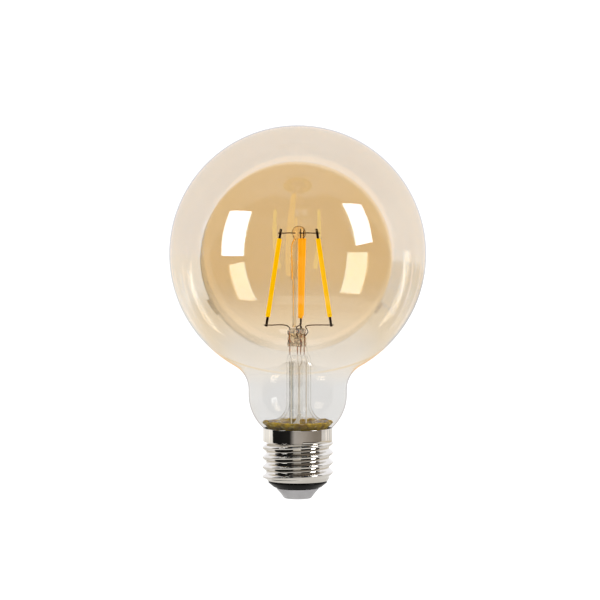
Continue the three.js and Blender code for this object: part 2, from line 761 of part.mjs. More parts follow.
// A coated disc, its axis along Y.
function varistor(radius, thickness) {
  const end = thickness / 2;
  const edge = 0.5;
  return turned(
    [
      at(0, -end),
      at(radius - edge, -end),
      at(radius, edge - end),
      at(radius, end - edge),
      at(radius - edge, end),
      at(0, end),
    ],
    SMALL_SEGMENTS,
  ).rotateX(Math.PI / 2);
}

// A wound resistor, waisted between its end caps.
function fuseResistor(radius, length) {
  const end = length / 2;
  const waist = radius - 0.2;
  const slope = 0.4;
  const capLength = 1.4;
  return turned(
    [
      at(0, -end),
      at(waist, -end),
      at(radius, slope - end),
      at(radius, capLength - end),
      at(waist, capLength + slope - end),
      at(waist, end - capLength - slope),
      at(radius, end - capLength),
      at(radius, end - slope),
      at(waist, end),
      at(0, end),
    ],
    SMALL_SEGMENTS,
  );
}

// A can over the radio's chips, open towards its board.
function radioShield() {
  const { width, depth, height, wall } = SHIELD;
  const inside = new THREE.BoxGeometry(width - 2 * wall, depth, height - 2 * wall);
  return cutFrom(new THREE.BoxGeometry(width, depth, height), [inside.translate(0, wall, 0)]);
}

// A square-wave track of upright bars, linked in turn above and below.
function radioAntenna() {
  const { pitch, turns, height, track, depth } = ANTENNA;
  const half = pitch / 2;
  const bars = [];
  for (let i = 0; i <= 2 * turns; i += 1) {
    const x = (i - turns) * half;
    bars.push(new THREE.BoxGeometry(track, depth, height).translate(x, 0, 0));
    if (i < 2 * turns) {
      const side = i % 2 === 0 ? 1 : -1;
      const link = new THREE.BoxGeometry(half + track, depth, track);
      bars.push(link.translate(x + half / 2, 0, (side * (height - track)) / 2));
    }
  }
  return joined(bars);
}

// The board stands upright in the shell with its face to -Y. The radio board stands in front of it.
function addDriver(parent) {
  const front = -BOARD.depth / 2 - SEAT_GAP;
  const back = -front;
  const radioFront = RADIO_BOARD.y - RADIO_BOARD.depth / 2 - TRACK_GAP;
  const radioBack = RADIO_BOARD.y + RADIO_BOARD.depth / 2 + SEAT_GAP;
  const headerDepth = front - radioBack;
  const mainChip = { width: 4.9, height: 3.9, thickness: 1.5, upperLegs: 4, lowerLegs: 4, z: 15.4 };
  const transistor = { width: 2.9, height: 1.3, thickness: 1, upperLegs: 1, lowerLegs: 2, x: 6.6, z: 18.4 };
  const bridge = { width: 4.8, height: 3.2, thickness: 2.2, upperLegs: 2, lowerLegs: 2, x: 4.4, z: 11.4 };
  const capacitor = { radius: 3.1, length: 9.5, z: 17.2 };
  const coil = { radius: 2.2, length: 4.2, x: -4.6, z: 11.6 };
  const surge = { radius: 2.4, thickness: 1.8, x: 7, y: -2.3, z: 13.2 };
  const fuse = { radius: 1.1, length: 6, x: -8, y: -3.3, z: 13 };

  const board = new THREE.BoxGeometry(BOARD.width, BOARD.depth, BOARD.height);
  addPiece(parent, "driver_board", board, "boardGreen", [0, 0, BOARD.z]);
  const radioBoard = new THREE.BoxGeometry(RADIO_BOARD.width, RADIO_BOARD.depth, RADIO_BOARD.height);
  addPiece(parent, "radio_board", radioBoard, "boardBlue", [0, RADIO_BOARD.y, RADIO_BOARD.z]);
  const shieldPlace = [0, radioFront - SHIELD.depth / 2, SHIELD.z];
  addPiece(parent, "radio_shield", radioShield(), "tinPlate", shieldPlace);
  const antennaPlace = [0, radioFront - ANTENNA.depth / 2, ANTENNA.z];
  addPiece(parent, "radio_antenna", radioAntenna(), "copper", antennaPlace);
  const header = new THREE.BoxGeometry(HEADER.width, headerDepth, HEADER.height);
  addPiece(parent, "radio_header", header, "blackMoulding", [0, radioBack + headerDepth / 2, HEADER.z]);

  const chipPlace = [0, front - mainChip.thickness / 2, mainChip.z];
  addPiece(parent, "driver_chip", chip(mainChip), "blackMoulding", chipPlace);
  for (const [name, side] of [["yellow", -1], ["orange", 1]]) {
    const place = [side * transistor.x, front - transistor.thickness / 2, transistor.z];
    addPiece(parent, `${name}_channel_transistor`, chip(transistor), "blackMoulding", place);
  }
  const bridgePlace = [bridge.x, back + bridge.thickness / 2, bridge.z];
  addPiece(parent, "bridge_rectifier", chip(bridge), "blackMoulding", bridgePlace).rotation.z = Math.PI;

  const can = electrolyticCapacitor(capacitor.radius, capacitor.length);
  addPiece(parent, "electrolytic_capacitor", can, "capSleeve", [0, back + capacitor.radius, capacitor.z]);
  const coilPlace = [coil.x, back + coil.length / 2, coil.z];
  addPiece(parent, "inductor", inductor(coil.radius, coil.length), "ferrite", coilPlace);
  const surgeDisc = varistor(surge.radius, surge.thickness);
  addPiece(parent, "varistor", surgeDisc, "varistorBody", [surge.x, surge.y, surge.z]);
  const fuseBody = fuseResistor(fuse.radius, fuse.length);
  addPiece(parent, "fuse_resistor", fuseBody, "resistorBody", [fuse.x, fuse.y, fuse.z]);

  const contactWire = curveThrough([
    [0, 0, 7.5],
    [-0.8, -0.3, 7.85],
    [-4, -1.6, 8],
    [-7, -3, 8.3],
    [fuse.x, fuse.y, fuse.z - fuse.length / 2 - SEAT_GAP],
  ]);
  const shellWire = curveThrough([
    [8, -0.9, 16.6],
    [8.6, -0.95, 17],
    [9.6, -0.5, 18.2],
    [9.8, 0, 19.4],
  ]);
  addPiece(parent, "contact_wire", wire(contactWire, 12), "wireRed");
  addPiece(parent, "shell_wire", wire(shellWire, 8), "copper");
  addPiece(parent, "shell_solder", new THREE.SphereGeometry(0.5, 8, 6), "solder", [10.4, 0, 19.8]);
}

// ---------------------------------------------------------------- the lamp

const lamp = new THREE.Group();
addPiece(lamp, "glass_globe", glassGlobe(), "goldGlass");
addPiece(lamp, "base_cement", baseCement(), "cement");
addPiece(lamp, "screw_shell", screwShell(), "nickelShell");
addPiece(lamp, "insulator", insulator(), "blackInsulator");
addPiece(lamp, "centre_contact", endContact(), "contact");
addDriver(lamp);

const stemGroup = new THREE.Group();
stemGroup.position.x = STEM_OFFSET_X;
lamp.add(stemGroup);
addPiece(stemGroup, "stem", stem(), "clearGlass");
addPiece(stemGroup, "exhaust_tube", exhaustTube(), "clearGlass");

const wireDirections = [];
for (const filament of FILAMENTS) {
  const { side } = filament;
  const line = addFilament(stemGroup, filament);
  wireDirections.push(crossing(line, UPPER_WIRE_Z).outward);
  addPiece(stemGroup, `upper_wire_${side}`, upperWire(line), "nickelWire");
  addPiece(stemGroup, `inner_lead_${side}`, innerLead(line, LEAD_HOLES[side]), "nickelWire");
  addPiece(stemGroup, `dumet_${side}`, dumetSection(LEAD_HOLES[side]), "dumet");
  addPiece(stemGroup, `outer_lead_${side}`, wire(OUTER_LEADS[side], OUTER_LEAD_STEPS), "copper");
}
addPiece(stemGroup, "support_rod", supportRod(wireDirections), "clearGlass");
for (const [side, span] of Object.entries(SLEEVES)) {
  addPiece(stemGroup, `sleeve_${side}`, sleeve(OUTER_LEADS[side], span), "sleeve");
}

export default lamp;
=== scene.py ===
import math

import bpy
import numpy as np
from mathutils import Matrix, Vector, noise


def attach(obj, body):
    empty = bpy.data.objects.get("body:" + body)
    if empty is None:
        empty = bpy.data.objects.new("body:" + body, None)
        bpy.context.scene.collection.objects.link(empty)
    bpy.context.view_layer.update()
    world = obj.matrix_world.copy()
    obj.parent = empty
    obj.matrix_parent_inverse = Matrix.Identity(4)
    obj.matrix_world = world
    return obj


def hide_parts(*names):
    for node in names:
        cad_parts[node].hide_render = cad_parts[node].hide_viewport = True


# The looks of a G95 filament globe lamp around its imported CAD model. Shapes are worked out in
# millimetres, in the frame of the CAD model, and turned into metres when a mesh is made.

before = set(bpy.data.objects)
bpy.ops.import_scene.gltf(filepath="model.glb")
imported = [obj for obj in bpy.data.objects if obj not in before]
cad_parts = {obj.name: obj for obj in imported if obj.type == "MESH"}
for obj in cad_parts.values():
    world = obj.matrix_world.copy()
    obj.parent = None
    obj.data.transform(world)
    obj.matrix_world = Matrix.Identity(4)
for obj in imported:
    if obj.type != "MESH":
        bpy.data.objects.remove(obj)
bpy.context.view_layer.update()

MM = 0.001
ROOT = "root"
WHITE = (1, 1, 1, 1)

# ---- dimensions, in millimetres

LAMP_LENGTH = 138
GLOBE_RADIUS = 47.5
GLOBE_Z = LAMP_LENGTH - GLOBE_RADIUS
GLASS_WALL = 0.9
NECK_RADIUS = 18.2
NECK_FILLET = 10
SHOULDER_Z = 38.6
SHOULDER_RADIUS = 17
SHOULDER_END_RADIUS = 12.9
SKIRT_RADIUS = 12.1
SKIRT_TOP = 26
SKIRT_BOTTOM = 22.4

THREAD_PITCH = 3.629
THREAD_RADIUS = 13.05
THREAD_ROOT_RADIUS = 11.6
THREAD_CREST_Z = 2.5
THREAD_START_Z = 8
SHELL_WALL = 0.35
SHELL_BOTTOM = 6.6
SHELL_END_RADIUS = 11.2
SHELL_TOP = 25.9
COLLAR_BOTTOM = 21.2
COLLAR_RADIUS = 12.8
COLLAR_STEP = 0.4

CONTACT_FACE_RADIUS = 4.6
CONTACT_EDGE = 0.7
CONTACT_FLANK = (6.4, 1.93)
CONTACT_RADIUS = 7.9
CONTACT_TOP = 3.9
RIVET_RADIUS = 1.2
RIVET_HEAD_RADIUS = 2
RIVET_HEAD_Z = 6.7
INSULATOR_FOOT_RADIUS = 9
INSULATOR_BORE = 1.5
INSULATOR_WALL_RADIUS = 10.55
INSULATOR_TOP = 7.4
INSULATOR_FLOOR_RADIUS = 8.75
INSULATOR_FLOOR_Z = 6.4

STEM_X = 0.4
STEM_RADIUS = 4.5
STEM_WALL = 0.9
FLARE_RIM_RADIUS = 10.8
FLARE_RIM_Z = 28.8
STEM_SHOULDER_Z = 51.8
STEM_CAVITY_TOP = 52.9
PRESS_X = -0.7  # from the stem's axis
PRESS_HALF_WIDTH = 3.3
PRESS_HALF_DEPTH = 1.3
PRESS_BOTTOM = 56.4
PRESS_TOP = 63
TUBE_RADIUS = 1.5
TUBE_BORE = 0.9
TUBE_TOP = 49.5

ROD_X = -1.7  # from the stem's axis
ROD_RADIUS = 0.75
ROD_UPPER_RADIUS = 1.35
ROD_STEP_Z = 81
BUTTON_RADIUS = 2.6
BUTTON_Z = 98.3

COAT_WIDTH = 1.7
COAT_CORNER = 0.55
COAT_TOP = (7.1, 96.2)
COAT_BOTTOM = (11.5, 67.2)
STRIP_WIDTH = 0.9
STRIP_THICKNESS = 0.3
TAB_REACH = 3.6
TAB_HELD = 0.6
TAB_HOLE_RADIUS = 0.2
WIRE_RADIUS = 0.2
SLEEVE_RADIUS = 0.72
SLEEVE_BORE = 0.46
UPPER_WIRE_Z = 98.2
LOWER_WIRE_Z = 64.2
WIRE_GAP = 0.12

CEMENT_GAP = 0.3
CEMENT_BORE = 7.5
CEMENT_BOTTOM = 21.5
CEMENT_STEP = 0.45  # how finely its outline is divided

# ---- node materials


class Nodes:
    """A shader node tree, with short ways to build it."""

    def __init__(self, tree):
        self.tree = tree
        self.tree.nodes.clear()

    def node(self, kind, inputs, **settings):
        """A node with its settings and its inputs, which are values or outputs to link."""
        made = self.tree.nodes.new("ShaderNode" + kind)
        for key, value in settings.items():
            setattr(made, key, value)
        for key, value in inputs.items():
            if isinstance(value, bpy.types.NodeSocket):
                self.tree.links.new(value, made.inputs[key])
            elif value is not None:
                made.inputs[key].default_value = value
        return made

    def math(self, operation, a, b=0.0, c=0.0, clamp=False):
        return self.node("Math", {0: a, 1: b, 2: c}, operation=operation, use_clamp=clamp).outputs[0]

    def spread(self, value, low, high, to_low=0.0, to_high=1.0, smooth=False):
        kind = "SMOOTHSTEP" if smooth else "LINEAR"
        inputs = {0: value, 1: low, 2: high, 3: to_low, 4: to_high}
        return self.node("MapRange", inputs, interpolation_type=kind).outputs[0]

    def blend(self, share, first, second):
        return self.node("Mix", {0: share, 6: first, 7: second}, data_type="RGBA").outputs[2]

    def split(self, vector):
        return self.node("SeparateXYZ", {0: vector}).outputs

    def mix_shaders(self, share, first, second):
        return self.node("MixShader", {0: share, 1: first, 2: second}).outputs[0]

    def camera_sees(self, seen, mirrored):
        """One shader for what the camera sees straight on, another for what mirrors show."""
        return self.mix_shaders(self.node("LightPath", {}).outputs["Is Camera Ray"], mirrored, seen)

    def glow(self, colour=WHITE, strength=1.0, kind="Emission"):
        return self.node(kind, {"Color": colour, "Strength": strength}).outputs[0]


class Material(Nodes):
    """A material of procedural detail. It ends in finish, pane or surface."""

    def __init__(self, name):
        self.material = bpy.data.materials.new(name)
        self.material.use_nodes = True
        super().__init__(self.material.node_tree)
        self.place = self.node("TexCoord", {}).outputs["Object"]

    def surface(self, shader):
        self.node("OutputMaterial", {"Surface": shader})
        return self.material

    def finish(self, colour, roughness, normal, **more):
        """A Principled surface."""
        inputs = {"Base Color": colour, "Roughness": roughness, "Normal": normal}
        inputs.update((key.replace("_", " "), value) for key, value in more.items())
        return self.surface(self.node("BsdfPrincipled", inputs).outputs[0])

    def pane(self, tint, share, shine, roughness, normal=None):
        """A clear wall: a tint for what shows through, and a share of mirror."""
        through = self.node("BsdfTransparent", {"Color": tint}).outputs[0]
        inputs = {"Color": shine, "Roughness": roughness, "Normal": normal}
        mirror = self.node("BsdfGlossy", inputs, distribution="GGX").outputs[0]
        return self.surface(self.mix_shaders(share, through, mirror))

    def noise(self, scale, detail=3.0, stretch=(1, 1, 1), distortion=0.0):
        place = self.node("Mapping", {"Vector": self.place, "Scale": stretch}).outputs[0]
        inputs = {"Vector": place, "Scale": scale, "Detail": detail, "Distortion": distortion}
        return self.node("TexNoise", inputs).outputs[0]

    def patches(self, scale, low=0.3, high=0.7, to_low=0.0, to_high=1.0, **more):
        return self.spread(self.noise(scale, **more), low, high, to_low, to_high)

    def bump(self, height, strength, distance, normal=None):
        inputs = {"Height": height, "Strength": strength, "Distance": distance, "Normal": normal}
        return self.node("Bump", inputs).outputs[0]

    def height(self):
        return self.split(self.place)[2]

    def lean(self, normal=None):
        """How far the surface leans away from the ray: 0 is square on, 1 is edge on."""
        return self.node("LayerWeight", {"Blend": 0.5, "Normal": normal}).outputs["Facing"]


def rgb(red, green, blue):
    """A colour given in display values from 0 to 255, made linear."""
    return tuple(
        c / 12.92 if c <= 0.04045 else ((c + 0.055) / 1.055) ** 2.4
        for c in (red / 255, green / 255, blue / 255)
    ) + (1.0,)


def worn(name, colour, other, roughness, metallic, scale=900, relief=0.00002, **more):
    """A surface that drifts between two display colours, with uneven roughness and a fine relief."""
    made = Material(name)
    grain = made.noise(scale, detail=5)
    drift = made.patches(scale * 0.35, 0.35, 0.65)
    return made.finish(
        made.blend(drift, rgb(*colour), rgb(*other)),
        made.spread(grain, 0.3, 0.7, *roughness),
        made.bump(grain, 0.5, relief),
        Metallic=metallic, **more,
    )


# Colours of the globe's glass, each as seen through one wall.
AMBER = (0.985, 0.80, 0.545, 1)
CLEAR = (0.805, 0.798, 0.787, 1)
LIMB = (0.58, 0.54, 0.53, 1)
WARM_LIMB = (0.90, 0.66, 0.38, 1)
# Not a colour of the glass: the colour of a painted reflection line across the neck.
NECK_REFLECTION_LINE = (0.86, 0.70, 0.46, 1)

# Heights in metres where its tint and its sheen start and where they are full.
TINT_HEIGHTS = (0.042, 0.082)
SHEEN_HEIGHTS = (0.046, 0.058)
INNER_SHEEN_HEIGHTS = (0.06, 0.08)
FILLET_LOW = (0.0455, 0.0485)
FILLET_HIGH = (0.0585, 0.0545)
# Height and sag of the painted reflection line across the neck.
NECK_REFLECTION_LINE_Z = 0.0476
NECK_REFLECTION_LINE_SAG = 7.2  # how much the line rises towards the sides, per metre squared

COAT_LEAN = (0.016, 0.0, 0.052)  # the blown wall is a little thicker low down, which shifts its sheen


def neck_reflection_line(made):
    """How much of the painted reflection line, on the lamp's front, where the globe runs into the neck.
    """
    x, y, z = made.split(made.place)
    rise = made.math("MULTIPLY", made.math("MULTIPLY", x, x), NECK_REFLECTION_LINE_SAG)
    off = made.math("ABSOLUTE", made.math("SUBTRACT", made.math("SUBTRACT", z, rise), NECK_REFLECTION_LINE_Z))
    line = made.spread(off, 0.0002, 0.0007, 0.75, 0.0, smooth=True)
    strong = made.spread(made.math("ABSOLUTE", x), 0.004, 0.026, 0.35, 1.0)
    return made.math("MULTIPLY", made.math("MULTIPLY", line, strong), made.spread(y, 0.004, -0.004))


def globe_glass():
    """A thin wall: it tints what shows through, less towards the neck, and reflects more aslant."""
    made = Material("globe_glass")
    normal = made.node("NewGeometry", {}).outputs["Normal"]
    normal = made.node("VectorMath", {0: normal, 1: COAT_LEAN}, operation="ADD").outputs[0]
    normal = made.node("VectorMath", {0: normal}, operation="NORMALIZE").outputs[0]
    lean = made.lean()
    height = made.height()

    amber = made.spread(height, *TINT_HEIGHTS)
    amber = made.math("ADD", amber, made.patches(45, to_low=-0.05, to_high=0.05, detail=2), clamp=True)
    tint = made.blend(amber, CLEAR, AMBER)
    fillet = made.math("MULTIPLY", made.spread(height, *FILLET_HIGH), made.spread(height, *FILLET_LOW))
    limb = made.spread(lean, 0.76, 0.95, smooth=True)
    tint = made.blend(limb, tint, made.blend(fillet, LIMB, WARM_LIMB))
    # Mix in the painted reflection line across the neck's front.
    tint = made.blend(neck_reflection_line(made), tint, NECK_REFLECTION_LINE)

    coated = made.spread(height, *SHEEN_HEIGHTS, smooth=True)
    aslant = made.spread(made.lean(normal), 0.318, 0.338, 0.0, 0.26, smooth=True)
    aslant = made.math("MULTIPLY", aslant, coated)
    straight = made.spread(coated, 0.0, 1.0, 0.04, 0.09)
    grazing = made.spread(lean, 0.70, 0.98, 0.0, 0.2, smooth=True)
    share = made.math("ADD", made.math("ADD", straight, aslant), grazing)
    return made.pane(tint, share, (0.95, 0.98, 1, 1), 0.0)


def inner_glass():
    """The inner face of the globe's wall, whose coating gives a faint cool reflection."""
    made = Material("globe_inner_face")
    ripple = made.bump(made.noise(60, detail=2), 0.2, 0.0002)
    share = made.spread(made.height(), *INNER_SHEEN_HEIGHTS, 0.0, 0.17, smooth=True)
    return made.pane((0.998, 0.998, 0.998, 1), share, (0.22, 0.48, 1.0, 1), 0.02, ripple)


def thin_glass(name, colour, rim=(0.74, 0.72, 0.67, 1), rim_from=0.66, rim_full=0.96):
    """Drawn tubing: nearly invisible from the front, darker and mirroring where it is seen aslant."""
    made = Material(name)
    ripple = made.bump(made.noise(90, detail=2), 0.25, 0.0003)
    lean = made.lean(ripple)
    clear = made.blend(made.patches(150, detail=2), colour, WHITE)
    tint = made.blend(made.spread(lean, rim_from, rim_full, smooth=True), clear, rim)
    share = made.spread(lean, 0.4, 0.97, 0.02, 0.22, smooth=True)
    return made.pane(tint, share, WHITE, made.patches(300, to_high=0.06), ripple)


SOLID_GLASS = {"IOR": 1.48, "Transmission_Weight": 1.0}


def rod_glass():
    """Solid glass that bends what shows through it, with amber painted in parts: a painted image of the
    amber globe seen through it.
    """
    made = Material("rod_glass")
    # The amber drift is a painted image of the amber globe seen through the rod.
    drift = made.patches(120, 0.35, 0.65, detail=2)
    return made.finish(
        made.blend(drift, (1.0, 0.86, 0.58, 1), WHITE),
        made.patches(300, to_high=0.03),
        made.bump(made.noise(350, detail=2), 0.35, 0.00003),
        **SOLID_GLASS,
    )


def press_glass():
    """Pinched glass with dark bronze blotches, most of all at its ends."""
    made = Material("press_glass")
    height = made.height()
    # Dark bronze blotches, strongest near the press's top and bottom ends.
    dark_blotches = made.spread(made.noise(620, detail=3, distortion=1.2), 0.49, 0.60, smooth=True)
    top_end, bottom_end = made.spread(height, 0.0600, 0.0612), made.spread(height, 0.0590, 0.0572)
    ends = made.math("MAXIMUM", top_end, bottom_end)
    dark_blotches = made.math("MULTIPLY", dark_blotches, made.spread(ends, 0.0, 1.0, 0.4, 1.0))
    body = made.blend(made.patches(260, 0.35, 0.65), (1.0, 0.97, 0.88, 1), (0.97, 0.86, 0.64, 1))
    return made.finish(
        made.blend(dark_blotches, body, (0.16, 0.11, 0.04, 1)),
        made.patches(300, to_high=0.05),
        made.bump(made.noise(520, detail=2, distortion=0.8), 0.9, 0.0009),
        **SOLID_GLASS,
    )


def phosphor(name, colour, other, glow):
    """Silicone filled with phosphor, speckled near its lower end, where the strip shows through.
    Its emission is a painted glow that brightens it, though the lamp is not lit."""
    made = Material(name)
    grain = made.noise(2600, detail=4)
    body = made.blend(made.patches(260, 0.35, 0.65, stretch=(1, 1, 0.3)), colour, other)
    low = made.spread(made.height(), 0.0693, 0.0673, smooth=True)
    fleck = made.math("MULTIPLY", low, made.patches(1500, 0.5, 0.56, detail=2), clamp=True)
    return made.finish(
        made.blend(fleck, body, rgb(78, 66, 22)),
        made.spread(grain, 0.3, 0.7, 0.42, 0.62),
        made.bump(grain, 0.4, 0.00003),
        # The emission is a painted glow.
        IOR=1.41, Specular_IOR_Level=0.1, Emission_Color=glow, Emission_Strength=0.85,
    )


def polished_nickel():
    """Plated sheet with fine scratches along the axis and shallow dents."""
    made = Material("nickel_shell")
    scratch = made.noise(700, detail=4, stretch=(1, 1, 6))
    dents = made.bump(made.noise(160, detail=2), 0.35, 0.00006)
    return made.finish(
        made.blend(made.patches(120, 0.35, 0.65), rgb(230, 227, 222), rgb(216, 212, 205)),
        made.spread(scratch, 0.3, 0.75, 0.035, 0.12),
        made.bump(scratch, 0.12, 0.00001, dents),
        Metallic=1.0,
    )


def cement_material():
    """Olive resin, lumpy and uneven in colour, with pale flecks painted in as highlights."""
    made = Material("cement")
    lumps = made.noise(330, detail=4, distortion=0.8)
    body = made.blend(made.spread(lumps, 0.40, 0.60), rgb(164, 128, 0), rgb(238, 200, 0))
    # Pale flecks: painted highlights.
    pale = made.patches(520, 0.56, 0.66, distortion=0.4)
    return made.finish(
        made.blend(pale, body, rgb(246, 230, 128)),
        made.spread(lumps, 0.3, 0.7, 0.3, 0.55),
        made.bump(lumps, 0.8, 0.0004),
        IOR=1.45, Specular_IOR_Level=0.12, Coat_Weight=0.06, Coat_Roughness=0.1,
    )


GLOBE_GLASS = globe_glass()
INNER_GLASS = inner_glass()
STEM_GLASS = thin_glass("stem_glass", (0.985, 0.98, 0.97, 1))
PRESS_GLASS = press_glass()
ROD_GLASS = rod_glass()
# The button's amber is a painted image of the amber globe seen through it.
BUTTON_GLASS = thin_glass("button_glass", (1.0, 0.86, 0.60, 1), (0.40, 0.26, 0.12, 1), 0.45, 0.92)
SLEEVE = thin_glass("sleeving", (0.97, 0.975, 0.95, 1), (0.10, 0.11, 0.08, 1), 0.2, 0.8)
# Each phosphor's last colour is the colour of its painted glow.
YELLOW = phosphor("yellow_phosphor", (0.98, 0.88, 0.0, 1), (0.94, 0.82, 0.0, 1), (1, 0.58, 0, 1))
ORANGE = phosphor("orange_phosphor", (1.0, 0.60, 0.0, 1), (0.98, 0.54, 0.0, 1), (1, 0.45, 0.02, 1))
NICKEL = polished_nickel()
CEMENT = cement_material()

# Other materials: two colours, roughness from and to, metallic, and what else sets them apart.
OXIDISED = {"Specular_IOR_Level": 0.2}
TAB = worn("tab", (66, 46, 22), (34, 24, 12), (0.35, 0.55), 0.3, 1500, **OXIDISED)
WIRE = worn("nickel_wire", (116, 80, 36), (52, 36, 18), (0.3, 0.5), 0.3, 1800, **OXIDISED)
DUMET = worn("dumet", (232, 156, 84), (198, 116, 56), (0.25, 0.42), 0.3, 1800, **OXIDISED)
COPPER = worn("copper_wire", (208, 140, 96), (176, 108, 70), (0.25, 0.45), 0.95, 1800)
# Tinned leads, with an emission that is a painted glow to brighten them.
TINNED = worn(
    "tinned_copper_painted_glow", (232, 220, 200), (216, 204, 184), (0.3, 0.5), 0.0, 1800,
    Emission_Color=(0.90, 0.88, 0.82, 1), Emission_Strength=0.42,
)
# White sleeving, with an emission that is a painted glow to brighten it.
WHITE_SLEEVE = worn(
    "white_sleeving_painted_glow", (240, 238, 228), (226, 224, 212), (0.4, 0.6), 0.0, 2200,
    Emission_Color=(0.92, 0.91, 0.86, 1), Emission_Strength=0.3,
)
CONTACT = worn("contact_metal", (198, 198, 201), (184, 184, 187), (0.36, 0.5), 0.75, 700)
INSULATOR = worn(
    "black_insulator", (8, 8, 7), (13, 12, 11), (0.12, 0.3), 0.0, 500, 0.00001,
    Specular_IOR_Level=0.1,
)
STRIP = worn("strip", (233, 230, 220), (214, 210, 198), (0.35, 0.6), 0.0)
BOARD_GREEN = worn("board_green", (28, 92, 58), (20, 76, 46), (0.3, 0.5), 0.0)
BOARD_BLUE = worn("board_blue", (28, 62, 110), (20, 48, 92), (0.3, 0.5), 0.0)
TIN = worn("tin_plate", (190, 192, 194), (168, 170, 173), (0.2, 0.4), 1.0)
MOULDING = worn("black_moulding", (30, 30, 32), (22, 22, 24), (0.5, 0.7), 0.0)
CAN_SLEEVE = worn("capacitor_sleeve", (44, 48, 70), (34, 38, 58), (0.3, 0.45), 0.0)
FERRITE = worn("ferrite", (62, 60, 58), (48, 46, 45), (0.6, 0.8), 0.1)
RESISTOR = worn("resistor_coat", (112, 156, 108), (94, 136, 92), (0.4, 0.6), 0.0)
VARISTOR = worn("varistor_coat", (40, 92, 164), (30, 74, 140), (0.3, 0.5), 0.0)
RED_WIRE = worn("red_insulation", (180, 44, 36), (156, 34, 28), (0.4, 0.6), 0.0)
SOLDER = worn("solder", (176, 179, 181), (150, 153, 156), (0.15, 0.35), 1.0)

# ---- mesh making


def make_piece(name, shape, material, replaced, sharp, second=None, second_faces=None):
    """A mesh piece of the lamp that stands for a CAD node. Its shape is points in millimetres and
    faces. Some of the faces may have a second material."""
    points, faces = shape
    mesh = bpy.data.meshes.new(name)
    mesh.from_pydata([tuple(MM * c for c in p) for p in points], [], faces)
    mesh.update()
    mesh.materials.append(material)
    if second:
        mesh.materials.append(second)
        mesh.polygons.foreach_set("material_index", second_faces)
    mesh.shade_smooth()
    mesh.set_sharp_from_angle(angle=math.radians(sharp))
    piece = bpy.data.objects.new(name, mesh)
    bpy.context.scene.collection.objects.link(piece)
    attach(piece, ROOT)
    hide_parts(replaced)


def join(rows):
    """Faces between closed rows of point indices, each row with the next."""
    faces = []
    for low, high in zip(rows, rows[1:]):
        for face in zip(low, low[1:] + low[:1], high[1:] + high[:1], high):
            faces.append(list(dict.fromkeys(face)))  # a row at a pole repeats its one point
    return faces


def lathe(profile, segments, closed=False, moved=None):
    """Points and faces of a profile of (radius, height) turned about a vertical axis.

    The profile runs up the outer side. A closed profile is a ring's section. moved(angle, point)
    gives a point's own place."""
    points, rows = [], []
    for radius, height in profile:
        if radius < 1e-9:
            rows.append([len(points)] * segments)
            points.append((0, 0, height))
            continue
        row = []
        for k in range(segments):
            angle = 2 * math.pi * k / segments
            r, z = moved(angle, (radius, height)) if moved else (radius, height)
            row.append(len(points))
            points.append((r * math.cos(angle), r * math.sin(angle), z))
        rows.append(row)
    return points, join([*rows, rows[0]] if closed else rows)


def arc(centre_r, centre_z, radius, start, end, steps):
    """Points of an arc in a turned profile, with the angles in degrees from straight out."""
    found = []
    for i in range(steps + 1):
        angle = math.radians(start + (end - start) * i / steps)
        found.append((centre_r + radius * math.cos(angle), centre_z + radius * math.sin(angle)))
    return found


def smooth_path(corners, steps):
    """Points of a centripetal Catmull-Rom curve through the corners, evenly spaced."""
    p = [Vector(c) for c in corners]
    p = [2 * p[0] - p[1]] + p + [2 * p[-1] - p[-2]]
    dense = []
    for a, b, c, d in zip(p, p[1:], p[2:], p[3:]):
        t0 = 0.0
        t1 = t0 + math.sqrt((b - a).length) + 1e-9
        t2 = t1 + math.sqrt((c - b).length) + 1e-9
        t3 = t2 + math.sqrt((d - c).length) + 1e-9
        for i in range(16):
            t = t1 + (t2 - t1) * i / 16
            a1 = (a * (t1 - t) + b * (t - t0)) / (t1 - t0)
            a2 = (b * (t2 - t) + c * (t - t1)) / (t2 - t1)
            a3 = (c * (t3 - t) + d * (t - t2)) / (t3 - t2)
            b1 = (a1 * (t2 - t) + a2 * (t - t0)) / (t2 - t0)
            b2 = (a2 * (t3 - t) + a3 * (t - t1)) / (t3 - t1)
            dense.append((b1 * (t2 - t) + b2 * (t - t1)) / (t2 - t1))
    dense.append(p[-2])
    lengths = [0.0]
    for a, b in zip(dense, dense[1:]):
        lengths.append(lengths[-1] + (b - a).length)
    found, k = [], 0
    for i in range(steps + 1):
        want = lengths[-1] * i / steps
        while k < len(lengths) - 2 and lengths[k + 1] < want:
            k += 1
        share = (want - lengths[k]) / max(lengths[k + 1] - lengths[k], 1e-9)
        found.append(dense[k].lerp(dense[k + 1], share))
    return found


def along_path(path, outlines):
    """Rings along a path, one for each of its points, carried without twisting. An outline is a list
    of (x, y) points."""
    last = len(path) - 1
    tangents = [(path[min(i + 1, last)] - path[max(i - 1, 0)]).normalized() for i in range(last + 1)]
    side = Vector((0, 0, 1)) if abs(tangents[0].z) < 0.9 else Vector((1, 0, 0))
    rings = []
    for point, tangent, outline in zip(path, tangents, outlines):
        side = (side - tangent * side.dot(tangent)).normalized()
        other = tangent.cross(side)
        rings.append([point + side * x + other * y for x, y in outline])
    return rings


def circle(radius, sides):
    return [
        (radius * math.cos(2 * math.pi * k / sides), radius * math.sin(2 * math.pi * k / sides))
        for k in range(sides)
    ]


def numbered(rings):
    """The points of all rings in one list, and rows of their indices."""
    sides = len(rings[0])
    rows = [list(range(i * sides, (i + 1) * sides)) for i in range(len(rings))]
    return [tuple(p) for ring in rings for p in ring], rows


def close_rings(rings):
    """Points and faces of a solid through the rings, capped at both ends."""
    points, rows = numbered(rings)
    return points, [*join(rows), rows[0][::-1], rows[-1]]


def close_loop(rings):
    """Points and faces of a hollow solid through the rings, out along its outside and back inside."""
    points, rows = numbered(rings)
    return points, join([*rows, rows[0]])


